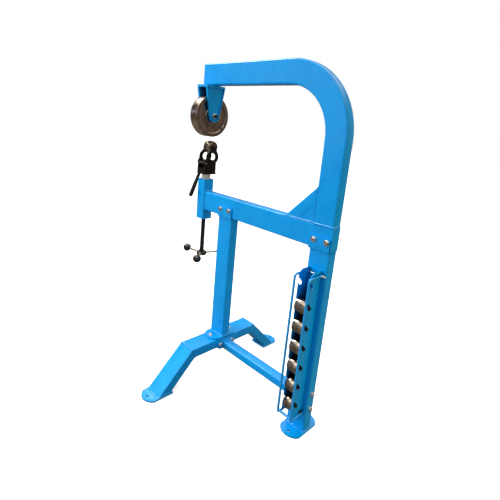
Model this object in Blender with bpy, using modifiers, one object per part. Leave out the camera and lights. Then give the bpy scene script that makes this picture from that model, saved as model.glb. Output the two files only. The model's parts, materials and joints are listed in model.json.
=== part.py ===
# English wheel on a floor stand: welded C-frame, upper wheel, screw-raised anvil and anvil rack.
# Metres, +Z up. X runs along the arms and Y = 0 is their mid-plane. Z = 0 is the floor.
# The near side, which carries the anvil rack, faces -Y.
# Places are worked out from the wheel's centre line. At the end the whole machine is set down with
# the middle of its rear foot on the world's origin.

import math

import bmesh
import bpy
from mathutils import Matrix, Vector

# Gaps and facet counts
FIT_GAP = 0.0003
RUNNING_GAP = 0.0004
OVERRUN = 0.002
FUSE_OVERLAP = 0.001
MERGE_DISTANCE = 0.00001
CORNER_STEPS = 2
BEND_STEPS = 16
ARC_STEPS = 10
SLOT_STEPS = 6
TIP_STEPS = 3
DRILL_SEGMENTS = 12
BOLT_SEGMENTS = 8
NUT_SIDES = 6
SHAFT_SEGMENTS = 16
ANVIL_SEGMENTS = 20
WHEEL_SEGMENTS = 44
SMOOTH_ANGLE = math.radians(35)
QUARTER_TURN = math.pi / 2

# Main frame tube: one rolled rectangular tube for the arm, the bend and the upper column
TUBE_DEPTH = 0.100
TUBE_WIDTH = 0.050
TUBE_CORNER = 0.008
TUBE_WALL = 0.004
CAP_T = 0.004
BEND_OUTER_RADIUS = 0.300
ARM_OVERHANG = 0.032
THROAT_DEPTH = 0.725
THROAT_HEIGHT = 0.5265
LOWER_ARM_TOP = 0.949

# Corner brace and its filler plates
BRACE_REACH = 0.146
BRACE_DEPTH = 0.050
BRACE_WIDTH = 0.044
FILLER_T = 0.004
FILLER_INSET = 0.0015

# Stand
FRONT_COLUMN_X = 0.200
PLATE_T = 0.008
BEAM_TOP = 0.195
BEAM_DEPTH = 0.050
BEAM_WIDTH = 0.100
BEAM_HALF_SPAN = 0.218
LEG_ANGLE = math.radians(45)
FOOT_HALF_WIDTH = 0.052
FOOT_HEEL = 0.011
FOOT_TOE = 0.022
FOOT_SAGITTA = 0.031
FOOT_HOLE_INSET = 0.023
FOOT_HOLE_RADIUS = 0.006
REAR_FOOT_HALF_WIDTH = 0.054
REAR_FOOT_STRAIGHT = 0.060
COLUMN_FOOT_STRAIGHT = 0.057
COLUMN_FOOT_SAGITTA = 0.027
COLUMN_FOOT_MARGIN = 0.001
COLUMN_BOLT_Y = 0.062
VENT_RADIUS = 0.006

# Saddles that carry the lower arm
SADDLE_T = 0.006
SADDLE_LEG = 0.053
SADDLE_BEND = 0.003
SADDLE_BOLT_SPACING = 0.062
SADDLE_BOLT_HEIGHT = 0.037

# Stretcher between the columns
STRETCHER_HEIGHT = 0.040
STRETCHER_WIDTH = 0.050
STRETCHER_CORNER = 0.006
STRETCHER_WALL = 0.003
STRETCHER_Z = 0.158
FLANGE_T = 0.008
FRONT_FLANGE_HALF_HEIGHT = 0.027
FRONT_FLANGE_Z = 0.165
FRONT_FLANGE_BOLT_Y = 0.040
FRONT_FLANGE_HALF_LENGTH = 0.063
REAR_FLANGE_BOLT_SPACING = 0.074
REAR_FLANGE_END = 0.018

# Fasteners
BOLT_RADIUS = 0.006
BOLT_HEAD_RADIUS = 0.0115
BOLT_HEAD_HEIGHT = 0.0075
BOLT_DOME_SHARES = ((0, 1), (0.55, 0.88), (0.9, 0.45), (1, 0))
NUT_RADIUS = 0.0104
NUT_HEIGHT = 0.008
THREAD_END = 0.004

# Upper wheel, its fork and axle
WHEEL_RADIUS = 0.1016
WHEEL_WIDTH = 0.0530
WHEEL_EDGE = 0.002
WHEEL_LIP = 0.018
WHEEL_RECESS = 0.006
WHEEL_BOSS_RADIUS = 0.042
WHEEL_BOSS_DROP = 0.002
SLEEVE_RADIUS = 0.014
FORK_PLATE_T = 0.012
FORK_PLATE_HALF_Y = 0.057
FORK_CLEARANCE = 0.0320
FORK_SIDE_GAP = 0.002
FORK_LEG_T = 0.004
FORK_FLANGE = 0.0065
FORK_LEG_FOOT_RADIUS = 0.030
AXLE_RADIUS = 0.008
AXLE_NUT_RADIUS = 0.0139
AXLE_NUT_HEIGHT = 0.011
AXLE_TIP = 0.009

# Anvils and their axles
ANVIL_RADIUS = 0.03175
ANVIL_WIDTH = 0.050
ANVIL_GAP = 0.02025
ANVIL_OFFSET = 0.017
ANVIL_RECESS = 0.003
ANVIL_RECESS_RADIUS = 0.019
ANVIL_AXLE_LENGTH = 0.068
CROWN_POINTS = 5
MOUNTED_CROWN = 0.076
RACK_CROWNS = (0.320, 0.190, 0.114, 0.089, 0.051, 0.038)

# Yoke that carries the mounted anvil
YOKE_SIDE_GAP = 0.0006
YOKE_ARM_T = 0.0064
YOKE_AXLE_HEIGHT = 0.0767
YOKE_BASE_T = 0.008
YOKE_EYE_HEIGHT = 0.0267
YOKE_EYE_OFFSET = 0.0105
YOKE_EYE_RADIUS = 0.020
YOKE_EYE_WALL = 0.0185
YOKE_FAR_START = math.radians(-25)
YOKE_FAR_END = math.radians(43)
YOKE_NEAR_START = math.radians(154)
YOKE_NEAR_END = math.radians(190)
YOKE_PRONG = 0.004
YOKE_NOTCH_DROP = 0.003
YOKE_TONGUE_HALF_X = 0.018
YOKE_TONGUE_NEAR = 0.010
YOKE_TONGUE_FAR = 0.016

# Cradle block, pivot pin, cam and quick-release lever
BLOCK_X = 0.062
BLOCK_Y = 0.075
BLOCK_Z = 0.063
BLOCK_EDGE = 0.002
BLOCK_LIP = 0.004
BLOCK_LIP_T = 0.006
PIVOT_INSET = 0.0065
PIVOT_DEPTH = 0.006
PIVOT_RADIUS = 0.0035
PIVOT_HEAD_RADIUS = 0.005
PIVOT_HEAD_HEIGHT = 0.0025
LUG_RADIUS = 0.0062
LUG_SHOULDER = 0.0015
REBATE_DEPTH = 0.015
REBATE_LENGTH = 0.0175
POCKET_HALF_X = 0.021
POCKET_NEAR = 0.019
POCKET_FAR = 0.021
POCKET_FLOOR = 0.006
WINDOW_LOW = 0.030
WINDOW_HIGH = 0.051
OIL_HOLE_RADIUS = 0.003
OIL_HOLE_DEPTH = 0.008
OIL_HOLE_Z = 0.013
CAM_AXIS_HEIGHT = 0.024
CAM_RADIUS = 0.014
CAM_OFFSET = 0.0031
CAM_GAP = 0.0006
CAM_HALF_LENGTH = 0.018
CAM_START = math.radians(-125)
CAM_SHAFT_RADIUS = 0.006
LEVER_LENGTH = 0.153
LEVER_ANGLE = math.radians(22.7)
LEVER_PLANE = 0.0455
LEVER_BOSS_RADIUS = 0.014
LEVER_BOSS_HALF = 0.009
LEVER_ROOT_RADIUS = 0.0085
LEVER_GRIP_RADIUS = 0.0105

# Adjuster: square housing, ram, bushes, nut, screw and kick wheel
HOUSING_SIZE = 0.060
HOUSING_CORNER = 0.006
HOUSING_WALL = 0.005
HOUSING_BELOW = 0.052
RAM_RADIUS = 0.0225
RAM_EXPOSED = 0.026
RAM_INSIDE = 0.094
RAM_CHAMFER = 0.002
BUSH_LENGTH = 0.075
BUSH_INSET = 0.003
NUT_BLOCK_T = 0.018
ADJUSTER_RADIUS = 0.0115
ADJUSTER_EXPOSED = 0.198
HUB_RADIUS = 0.028
HUB_HEIGHT = 0.025
HUB_CHAMFER = 0.004
SPOKE_ROOT = 0.012
SPOKE_RADIUS = 0.0045
SPOKE_REACH = 0.110
BALL_RADIUS = 0.020
BALL_SOCKET_DEPTH = 0.010
BALL_STEPS = 7
SPOKE_COUNT = 3
FIRST_SPOKE_ANGLE = math.radians(-50)

# Anvil rack on the rear column
RACK_HALF_WIDTH = 0.030
RACK_T = 0.003
RACK_SHIFT = 0.004
RACK_DEPTH = 0.069
RACK_BELOW_ARM = 0.080
RACK_BOTTOM = 0.109
RACK_CORNER = 0.024
SLOT_COUNT = 7
SLOT_FIRST = 0.0512
SLOT_LAST_DROP = 0.061
SLOT_DEPTH = 0.052
SLOT_CLEARANCE = 0.0004
PIVOT_BOLT_Y = 0.010
PIVOT_BOLT_DROP = 0.019
PIVOT_BOLT_RADIUS = 0.003
PIVOT_NUT_RADIUS = 0.006
PIVOT_NUT_HEIGHT = 0.005
PIVOT_THREAD = 0.014
BAIL_RADIUS = 0.004
BAIL_GAP = 0.0006
BAIL_STANDOFF = 0.016
BAIL_CORNER = 0.012
BAIL_EYE_RADIUS = 0.0075
BAIL_BELOW_RACK = 0.004
BAIL_TAIL = 0.0004
STOP_RADIUS = 0.0065
STOP_LENGTH = 0.009
STOP_ROD_RADIUS = 0.003
STOP_FORWARD = 0.018
STOP_LIFT = 0.0008

# Places worked out from the sizes above
REAR_X = THROAT_DEPTH + TUBE_DEPTH
REAR_COLUMN_X = THROAT_DEPTH + TUBE_DEPTH / 2
LOWER_ARM_BOTTOM = LOWER_ARM_TOP - TUBE_DEPTH
UPPER_ARM_BOTTOM = LOWER_ARM_TOP + THROAT_HEIGHT
UPPER_ARM_TOP = UPPER_ARM_BOTTOM + TUBE_DEPTH
HALF_TUBE = TUBE_WIDTH / 2
COLUMN_TOP = LOWER_ARM_BOTTOM - FIT_GAP - SADDLE_T - FIT_GAP
FORK_PLATE_TOP = UPPER_ARM_BOTTOM - FIT_GAP
FORK_PLATE_BOTTOM = FORK_PLATE_TOP - FORK_PLATE_T
WHEEL_AXIS_Z = FORK_PLATE_BOTTOM - FORK_CLEARANCE - WHEEL_RADIUS
FORK_LEG_X = WHEEL_WIDTH / 2 + FORK_SIDE_GAP
FORK_PLATE_HALF_X = FORK_LEG_X + FORK_LEG_T + FORK_FLANGE
ANVIL_Z = WHEEL_AXIS_Z - WHEEL_RADIUS - ANVIL_GAP - ANVIL_RADIUS
YOKE_BOTTOM = ANVIL_Z - YOKE_AXLE_HEIGHT
YOKE_ARM_X = ANVIL_WIDTH / 2 + YOKE_SIDE_GAP
BLOCK_TOP = YOKE_BOTTOM - FIT_GAP
BLOCK_BOTTOM = BLOCK_TOP - BLOCK_Z
PIVOT_Y = -BLOCK_Y / 2 + PIVOT_INSET
PIVOT_Z = BLOCK_TOP - PIVOT_DEPTH
CAM_Z = BLOCK_BOTTOM + CAM_AXIS_HEIGHT
TONGUE_BOTTOM = CAM_Z + CAM_RADIUS + CAM_OFFSET * math.sin(CAM_START) + CAM_GAP
RAM_TOP = BLOCK_BOTTOM - FIT_GAP
HOUSING_TOP = BLOCK_BOTTOM - RAM_EXPOSED
HOUSING_BOTTOM = LOWER_ARM_BOTTOM - HOUSING_BELOW
RAM_BOTTOM = HOUSING_TOP - RAM_INSIDE
HUB_Z = HOUSING_BOTTOM - ADJUSTER_EXPOSED
BUSH_RADIUS = HOUSING_SIZE / 2 - HOUSING_WALL - FIT_GAP
BEAM_BOTTOM = BEAM_TOP - BEAM_DEPTH
RACK_BACK_Y = -HALF_TUBE - FIT_GAP
RACK_FRONT_Y = RACK_BACK_Y - RACK_DEPTH
SLOT_END_Y = RACK_BACK_Y - SLOT_DEPTH
RACK_X = REAR_COLUMN_X - RACK_SHIFT
REAR_SADDLE_X = RACK_X
RACK_TOP = LOWER_ARM_BOTTOM - RACK_BELOW_ARM
SLOT_PITCH = (RACK_TOP - SLOT_LAST_DROP - RACK_BOTTOM - SLOT_FIRST) / (SLOT_COUNT - 1)
SLOT_RADIUS = AXLE_RADIUS + SLOT_CLEARANCE
BAIL_PIVOT = Vector((RACK_X, RACK_BACK_Y - PIVOT_BOLT_Y, RACK_TOP - PIVOT_BOLT_DROP))
BAIL_DROP = BAIL_PIVOT.z - RACK_BOTTOM + BAIL_BELOW_RACK
BAIL_X = RACK_HALF_WIDTH + BAIL_GAP + BAIL_RADIUS
STOP_Y = RACK_BACK_Y - STOP_FORWARD
STOP_Z = BAIL_PIVOT.z - BAIL_DROP + BAIL_RADIUS + STOP_LIFT + STOP_RADIUS

X_AXIS = Vector((1, 0, 0))
Y_AXIS = Vector((0, 1, 0))
Z_AXIS = Vector((0, 0, 1))


# Scene, materials and objects

def clear_scene():
    for item in list(bpy.data.objects):
        bpy.data.objects.remove(item, do_unlink=True)


def new_collection(name):
    collection = bpy.data.collections.new(name)
    bpy.context.scene.collection.children.link(collection)
    return collection


def new_material(name, colour, roughness, metallic):
    material = bpy.data.materials.new(name)
    material.use_nodes = True
    shader = material.node_tree.nodes["Principled BSDF"]
    shader.inputs["Base Color"].default_value = (*colour, 1)
    shader.inputs["Roughness"].default_value = roughness
    shader.inputs["Metallic"].default_value = metallic
    material.diffuse_color = (*colour, 1)
    return material


FINISHES = {
    "blue_paint": ((0.01, 0.28, 0.82), 0.35, 0.0),
    "polished_steel": ((0.62, 0.60, 0.57), 0.12, 1.0),
    "black_oxide": ((0.012, 0.012, 0.013), 0.45, 0.6),
    "zinc_plate": ((0.66, 0.67, 0.66), 0.28, 1.0),
    "chrome": ((0.78, 0.79, 0.80), 0.06, 1.0),
    "bronze": ((0.55, 0.38, 0.16), 0.35, 1.0),
    "black_plastic": ((0.01, 0.01, 0.011), 0.25, 0.0),
    "rubber": ((0.015, 0.015, 0.015), 0.7, 0.0),
}

clear_scene()
PARTS = new_collection("english_wheel")
CUTTERS = new_collection("cutters")


def link(name, mesh, finish):
    """A new object of the wheel, with a material of its own."""
    item = bpy.data.objects.new(name, mesh)
    PARTS.objects.link(item)
    mesh.materials.clear()
    mesh.materials.append(new_material(name + "_" + finish, *FINISHES[finish]))
    return item


def to_mesh(bm, name):
    bmesh.ops.recalc_face_normals(bm, faces=bm.faces[:])
    mesh = bpy.data.meshes.new(name)
    bm.to_mesh(mesh)
    bm.free()
    mesh.shade_smooth()
    mesh.set_sharp_from_angle(angle=SMOOTH_ANGLE)
    return mesh


def hide_tool(tool):
    """Puts a cutter or a shape that is fused into another with the cutters."""
    for collection in list(tool.users_collection):
        collection.objects.unlink(tool)
    CUTTERS.objects.link(tool)
    tool.hide_render = True
    tool.display_type = "WIRE"


def boolean(item, tool, operation):
    hide_tool(tool)
    modifier = item.modifiers.new(operation.lower(), "BOOLEAN")
    modifier.operation = operation
    modifier.object = tool
    modifier.solver = "EXACT"


def cut(item, shapes):
    """Cuts closed shapes, given as meshes, out of an item."""
    tool = bpy.data.objects.new(item.name + "_cutter", joined(item.name + "_cutter", shapes))
    CUTTERS.objects.link(tool)
    boolean(item, tool, "DIFFERENCE")


def fuse(item, shapes):
    """Unites closed shapes, given as meshes, with an item."""
    for shape in shapes:
        tool = bpy.data.objects.new(item.name + "_addition", shape)
        CUTTERS.objects.link(tool)
        boolean(item, tool, "UNION")


def joined(name, shapes):
    """One mesh that holds several separate shapes."""
    bm = bmesh.new()
    for shape in shapes:
        bm.from_mesh(shape)
    return to_mesh(bm, name)


# Shapes

def frame_matrix(origin, x_axis, y_axis, z_axis):
    """The matrix that takes local axes to the given ones and the local origin to origin."""
    matrix = Matrix((x_axis, y_axis, z_axis)).transposed().to_4x4()
    matrix.translation = origin
    return matrix


def along(origin, direction):
    """The matrix that turns +Z to a direction and moves the origin."""
    matrix = Z_AXIS.rotation_difference(Vector(direction)).to_matrix().to_4x4()
    matrix.translation = origin
    return matrix


def box(low, high):
    bm = bmesh.new()
    size = Vector(high) - Vector(low)
    middle = (Vector(high) + Vector(low)) / 2
    bmesh.ops.create_cube(bm, size=1, matrix=Matrix.Translation(middle) @ Matrix.Diagonal((*size, 1)))
    return to_mesh(bm, "box")


def cylinder(origin, direction, length, radius, segments):
    """A plain cylinder that starts at origin and runs along direction."""
    bm = bmesh.new()
    middle = Matrix.Translation((0, 0, length / 2))
    bmesh.ops.create_cone(bm, cap_ends=True, segments=segments, radius1=radius, radius2=radius, depth=length,
                          matrix=along(origin, direction) @ middle)
    return to_mesh(bm, "cylinder")


def turned(profile, segments, matrix):
    """A mesh turned about +Z from (radius, height) points, then moved by a matrix.

    A profile that starts and ends on the axis gives a solid, and any other one is closed into a ring.
    Its points run down the outer side.
    """
    mesh = bpy.data.meshes.new("profile")
    points = [(radius, 0, height) for radius, height in profile]
    edges = [(i, i + 1) for i in range(len(points) - 1)]
    if profile[0][0] > 0:
        edges.append((len(points) - 1, 0))
    mesh.from_pydata(points, edges, [])
    turning = bpy.data.objects.new("profile", mesh)
    CUTTERS.objects.link(turning)
    screw = turning.modifiers.new("turn", "SCREW")
    screw.steps = segments
    screw.render_steps = segments
    screw.use_merge_vertices = True
    screw.merge_threshold = MERGE_DISTANCE
    bm = bmesh.new()
    bm.from_mesh(evaluated(turning))
    bpy.data.objects.remove(turning)
    bmesh.ops.remove_doubles(bm, verts=bm.verts[:], dist=MERGE_DISTANCE)
    bm.transform(matrix)
    return to_mesh(bm, "turned")


def evaluated(item):
    """The mesh that an object has after its modifiers."""
    bpy.context.view_layer.update()
    graph = bpy.context.evaluated_depsgraph_get()
    return bpy.data.meshes.new_from_object(item.evaluated_get(graph))


def plate(outline, holes, thickness, matrix):
    """A flat plate from an outline and its holes, centred on the local XY plane."""
    curve = bpy.data.curves.new("outline", "CURVE")
    curve.dimensions = "2D"
    curve.fill_mode = "BOTH"
    curve.extrude = thickness / 2
    for ring in [outline] + holes:
        spline = curve.splines.new("POLY")
        spline.points.add(len(ring) - 1)
        for point, (x, y) in zip(spline.points, ring):
            point.co = (x, y, 0, 1)
        spline.use_cyclic_u = True
    shape = bpy.data.objects.new("outline", curve)
    CUTTERS.objects.link(shape)
    bm = bmesh.new()
    bm.from_mesh(evaluated(shape))
    bpy.data.objects.remove(shape)
    bmesh.ops.remove_doubles(bm, verts=bm.verts[:], dist=MERGE_DISTANCE)
    bm.transform(matrix)
    return to_mesh(bm, "plate")


def arc(centre, radius, start, end, steps):
    """Points on a circle from one angle to another, both included."""
    points = []
    for i in range(steps + 1):
        angle = start + (end - start) * i / steps
        points.append((centre[0] + radius * math.cos(angle), centre[1] + radius * math.sin(angle)))
    return points


def circle(centre, radius, segments):
    return arc(centre, radius, 0, 2 * math.pi, segments)[:-1]


def rounded_rectangle(width, height, radius):
    """Outline points of a rectangle with round corners, counter-clockwise from the lower right."""
    points = []
    for quarter, (side_x, side_y) in enumerate(((1, -1), (1, 1), (-1, 1), (-1, -1))):
        centre = (side_x * (width / 2 - radius), side_y * (height / 2 - radius))
        start = (quarter - 1) * QUARTER_TURN
        points.extend(arc(centre, radius, start, start + QUARTER_TURN, CORNER_STEPS))
    return points


def tube_section(bm, centre, side, up, width, height, corner, wall, cap=None):
    """The ring-shaped end face of a rectangular tube, as the start of an extrusion.

    A cap is the offset from this face to the outside of a welded end plate.
    """
    edges = []
    rings = []
    for inset in (0, wall):
        radius = max(corner - inset, wall / 4)
        outline = rounded_rectangle(width - 2 * inset, height - 2 * inset, radius)
        verts = [bm.verts.new(centre + side * x + up * y) for x, y in outline]
        rings.append(verts)
        for i, vert in enumerate(verts):
            edges.append(bm.edges.new((vert, verts[(i + 1) % len(verts)])))
    faces = bmesh.ops.bridge_loops(bm, edges=edges)["faces"]
    if cap:
        outer, inner = rings
        bm.faces.new(inner)
        end = [bm.verts.new(vert.co + cap) for vert in outer]
        bm.faces.new(end)
        for i in range(len(outer)):
            j = (i + 1) % len(outer)
            bm.faces.new((outer[i], outer[j], end[j], end[i]))
    return faces


def push(bm, faces, offset, keep=False):
    """Extrudes faces by an offset, drops the old ones unless they close the start, and gives the new end."""
    made = bmesh.ops.extrude_face_region(bm, geom=faces)["geom"]
    verts = [item for item in made if isinstance(item, bmesh.types.BMVert)]
    bmesh.ops.translate(bm, verts=verts, vec=offset)
    drop_faces(bm, [] if keep else faces)
    return [item for item in made if isinstance(item, bmesh.types.BMFace)]


def drop_faces(bm, faces):
    left = [face for face in faces if face.is_valid]
    bmesh.ops.delete(bm, geom=left, context="FACES_ONLY")


def straight_tube(start, end, side, width, height, corner, wall, cap=None):
    """A rectangular tube from start to end, with its width along side, as a bmesh."""
    bm = bmesh.new()
    run = end - start
    up = run.normalized().cross(side)
    faces = tube_section(bm, start, side, up, width, height, corner, wall, cap)
    push(bm, faces, run, cap is None)
    return bm


def mitre(bm, point, normal):
    """Cuts away what lies beyond a plane and closes the tube's cut wall."""
    geometry = bm.verts[:] + bm.edges[:] + bm.faces[:]
    made = bmesh.ops.bisect_plane(bm, geom=geometry, plane_co=point, plane_no=normal, clear_outer=True)
    edges = [item for item in made["geom_cut"] if isinstance(item, bmesh.types.BMEdge)]
    bmesh.ops.bridge_loops(bm, edges=edges)


def d_end(half_width, straight, sagitta):
    """The bowed end of a plate, from its right corner to its left, on the +Y side."""
    radius = (half_width ** 2 + sagitta ** 2) / (2 * sagitta)
    half_angle = math.asin(min(1, half_width / radius))
    centre = (0, straight + sagitta - radius)
    return arc(centre, radius, QUARTER_TURN - half_angle, QUARTER_TURN + half_angle, ARC_STEPS)


def bolt(origin, direction, grip):
    """A dome-headed bolt: its head sits at origin and its shank runs along direction."""
    profile = [(BOLT_HEAD_RADIUS * across, BOLT_HEAD_HEIGHT * up) for across, up in BOLT_DOME_SHARES]
    profile.extend([(BOLT_RADIUS, 0), (BOLT_RADIUS, -grip), (0, -grip)])
    return turned(profile, BOLT_SEGMENTS, along(origin, -Vector(direction)))


def nut(origin, direction, bore_radius, outer_radius, height):
    """A hexagon nut whose flat face is at origin and which rises along direction."""
    inner = (bore_radius + FIT_GAP) / math.cos(math.pi / NUT_SIDES)
    profile = [(outer_radius, height), (outer_radius, 0), (inner, 0), (inner, height)]
    return turned(profile, NUT_SIDES, along(origin, direction))


def drill(origin, direction, length, radius):
    """A cutter for a through hole, a little longer than what it goes through."""
    start = Vector(origin) - Vector(direction) * OVERRUN
    return cylinder(start, direction, length + 2 * OVERRUN, radius, DRILL_SEGMENTS)


# Main frame

def make_c_frame():
    """The rolled tube: capped upper arm, bend and upper column."""
    bm = bmesh.new()
    start = Vector((CAP_T - ARM_OVERHANG, 0, UPPER_ARM_TOP - TUBE_DEPTH / 2))
    bend_centre = Vector((REAR_X - BEND_OUTER_RADIUS, 0, UPPER_ARM_TOP - BEND_OUTER_RADIUS))
    faces = tube_section(bm, start, Y_AXIS, Z_AXIS, TUBE_WIDTH, TUBE_DEPTH, TUBE_CORNER, TUBE_WALL,
                         -X_AXIS * CAP_T)
    faces = push(bm, faces, X_AXIS * (bend_centre.x - start.x))
    made = bmesh.ops.spin(bm, geom=faces, cent=bend_centre, axis=Y_AXIS, angle=QUARTER_TURN, steps=BEND_STEPS)
    drop_faces(bm, faces)
    faces = [item for item in made["geom_last"] if isinstance(item, bmesh.types.BMFace)]
    push(bm, faces, Z_AXIS * (LOWER_ARM_TOP + FIT_GAP - bend_centre.z))
    link("c_frame_tube", to_mesh(bm, "c_frame_tube"), "blue_paint")


def saddle_bolt_places():
    """Near-side heads of the four saddle bolts."""
    head_y = -HALF_TUBE - FIT_GAP - SADDLE_T - FIT_GAP
    z = LOWER_ARM_BOTTOM + SADDLE_BOLT_HEIGHT
    places = []
    for column_x in (FRONT_COLUMN_X, REAR_COLUMN_X):
        for side in (-1, 1):
            places.append(Vector((column_x + side * SADDLE_BOLT_SPACING / 2, head_y, z)))
    return places


def make_lower_arm():
    """The horizontal tube from its capped rear end to the adjuster housing, with its bolt holes."""
    z = LOWER_ARM_TOP - TUBE_DEPTH / 2
    start = Vector((REAR_X - CAP_T, 0, z))
    end = Vector((HOUSING_SIZE / 2 + FIT_GAP, 0, z))
    bm = straight_tube(start, end, Y_AXIS, TUBE_WIDTH, TUBE_DEPTH, TUBE_CORNER, TUBE_WALL, X_AXIS * CAP_T)
    arm = link("lower_arm_tube", to_mesh(bm, "lower_arm_tube"), "blue_paint")
    holes = []
    for place in saddle_bolt_places():
        start = Vector((place.x, -HALF_TUBE, place.z))
        holes.append(drill(start, Y_AXIS, TUBE_WIDTH, BOLT_RADIUS + FIT_GAP))
    cut(arm, holes)


def make_corner_brace():
    """The diagonal tube in the throat's lower rear corner and the plates that fill the triangle under it."""
    half = BRACE_DEPTH / 2
    slope = Vector((1, 0, 1)).normalized()
    inward = Vector((1, 0, -1)).normalized()
    lower = Vector((THROAT_DEPTH - BRACE_REACH, 0, LOWER_ARM_TOP)) + inward * half
    upper = Vector((THROAT_DEPTH, 0, LOWER_ARM_TOP + BRACE_REACH)) + inward * half
    bm = straight_tube(lower - slope * BRACE_DEPTH, upper + slope * BRACE_DEPTH, Y_AXIS,
                       BRACE_WIDTH, BRACE_DEPTH, STRETCHER_CORNER, STRETCHER_WALL)
    mitre(bm, Vector((0, 0, LOWER_ARM_TOP + FIT_GAP)), -Z_AXIS)
    mitre(bm, Vector((THROAT_DEPTH - FIT_GAP, 0, 0)), X_AXIS)
    brace = link("corner_brace", to_mesh(bm, "corner_brace"), "blue_paint")
    corner_x = THROAT_DEPTH - 2 * FIT_GAP
    corner_z = LOWER_ARM_TOP + 2 * FIT_GAP
    leg = BRACE_REACH - BRACE_DEPTH * math.sqrt(2) + FUSE_OVERLAP
    outline = [(corner_x - leg, corner_z), (corner_x, corner_z), (corner_x, corner_z + leg)]
    plates = []
    for side in (-1, 1):
        y = side * (BRACE_WIDTH / 2 - FILLER_INSET - FILLER_T / 2)
        plates.append(plate(outline, [], FILLER_T, frame_matrix(Vector((0, y, 0)), X_AXIS, Z_AXIS, -Y_AXIS)))
    fuse(brace, plates)


# Stand

def make_saddle(name, column_x):
    """A bent U of plate that sits on a column and holds the lower arm."""
    inner = HALF_TUBE + FIT_GAP
    floor = LOWER_ARM_BOTTOM - FIT_GAP
    top = floor + SADDLE_LEG
    outer = inner + SADDLE_T
    base = floor - SADDLE_T
    bend = SADDLE_BEND + SADDLE_T
    outline = [(inner, floor), (inner, top), (outer, top)]
    outline.extend(arc((outer - bend, base + bend), bend, 0, -QUARTER_TURN, CORNER_STEPS))
    outline.extend(arc((-outer + bend, base + bend), bend, -QUARTER_TURN, -2 * QUARTER_TURN, CORNER_STEPS))
    outline.extend([(-outer, top), (-inner, top), (-inner, floor)])
    place = frame_matrix(Vector((column_x, 0, 0)), Y_AXIS, Z_AXIS, X_AXIS)
    saddle = link(name, plate(outline, [], TUBE_DEPTH, place), "blue_paint")
    holes = []
    for bolt_place in saddle_bolt_places():
        if abs(bolt_place.x - column_x) < TUBE_DEPTH / 2:
            start = Vector((bolt_place.x, -outer, bolt_place.z))
            holes.append(drill(start, Y_AXIS, 2 * outer, BOLT_RADIUS + FIT_GAP))
    cut(saddle, holes)


def make_front_column():
    """The front column, welded to the bow-ended plate that bolts it to the beam."""
    foot_bottom = BEAM_TOP + FIT_GAP
    start = Vector((FRONT_COLUMN_X, 0, foot_bottom + PLATE_T - FUSE_OVERLAP))
    end = Vector((FRONT_COLUMN_X, 0, COLUMN_TOP))
    bm = straight_tube(start, end, X_AXIS, TUBE_DEPTH, TUBE_WIDTH, TUBE_CORNER, TUBE_WALL)
    column = link("front_column", to_mesh(bm, "front_column"), "blue_paint")
    half_width = BEAM_WIDTH / 2 + COLUMN_FOOT_MARGIN
    bow = d_end(half_width, COLUMN_FOOT_STRAIGHT, COLUMN_FOOT_SAGITTA)
    outline = bow + [(-x, -y) for x, y in bow]
    holes = []
    for side in (-1, 1):
        holes.append(circle((0, side * COLUMN_BOLT_Y), BOLT_RADIUS + FIT_GAP, DRILL_SEGMENTS))
    place = Matrix.Translation((FRONT_COLUMN_X, 0, foot_bottom + PLATE_T / 2))
    fuse(column, [plate(outline, holes, PLATE_T, place)])


def make_rear_column():
    """The rear column, welded to a floor plate that is bowed at both ends."""
    start = Vector((REAR_COLUMN_X, 0, PLATE_T - FUSE_OVERLAP))
    end = Vector((REAR_COLUMN_X, 0, COLUMN_TOP))
    bm = straight_tube(start, end, X_AXIS, TUBE_DEPTH, TUBE_WIDTH, TUBE_CORNER, TUBE_WALL)
    column = link("rear_column", to_mesh(bm, "rear_column"), "blue_paint")
    bow = d_end(REAR_FOOT_HALF_WIDTH, REAR_FOOT_STRAIGHT, FOOT_SAGITTA)
    outline = bow + [(-x, -y) for x, y in bow]
    hole_y = REAR_FOOT_STRAIGHT + FOOT_SAGITTA - FOOT_HOLE_INSET
    rings = [circle((0, side * hole_y), FOOT_HOLE_RADIUS, DRILL_SEGMENTS) for side in (-1, 1)]
    place = Matrix.Translation((REAR_COLUMN_X, 0, PLATE_T / 2))
    fuse(column, [plate(outline, rings, PLATE_T, place)])
    holes = []
    for z in rear_bolt_heights():
        holes.append(drill(Vector((THROAT_DEPTH, 0, z)), X_AXIS, TUBE_DEPTH, BOLT_RADIUS + FIT_GAP))
    cut(column, holes)


def make_front_beam():
    """The arched front foot: a level beam, two slanted legs and their floor plates."""
    z = BEAM_TOP - BEAM_DEPTH / 2
    half_turn = LEG_ANGLE / 2
    reach = Vector((FRONT_COLUMN_X, BEAM_HALF_SPAN + BEAM_DEPTH, z))
    bm = straight_tube(Vector((reach.x, -reach.y, z)), reach, X_AXIS, BEAM_WIDTH, BEAM_DEPTH,
                       STRETCHER_CORNER, TUBE_WALL)
    for side in (-1, 1):
        corner = Vector((FRONT_COLUMN_X, side * (BEAM_HALF_SPAN - FIT_GAP / 2), BEAM_TOP))
        normal = Vector((0, side * math.cos(half_turn), -math.sin(half_turn)))
        mitre(bm, corner, normal)
    beam = link("front_beam", to_mesh(bm, "front_beam"), "blue_paint")
    holes = []
    for side in (-1, 1):
        start = Vector((FRONT_COLUMN_X, side * COLUMN_BOLT_Y, BEAM_BOTTOM))
        holes.append(drill(start, Z_AXIS, BEAM_DEPTH, BOLT_RADIUS + FIT_GAP))
        start = Vector((FRONT_COLUMN_X - BEAM_WIDTH / 2, side * FRONT_FLANGE_BOLT_Y, FRONT_FLANGE_Z))
        holes.append(drill(start, X_AXIS, BEAM_WIDTH, BOLT_RADIUS + FIT_GAP))
    cut(beam, holes)
    for side, name in ((-1, "near"), (1, "far")):
        make_front_leg(side, name)


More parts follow.
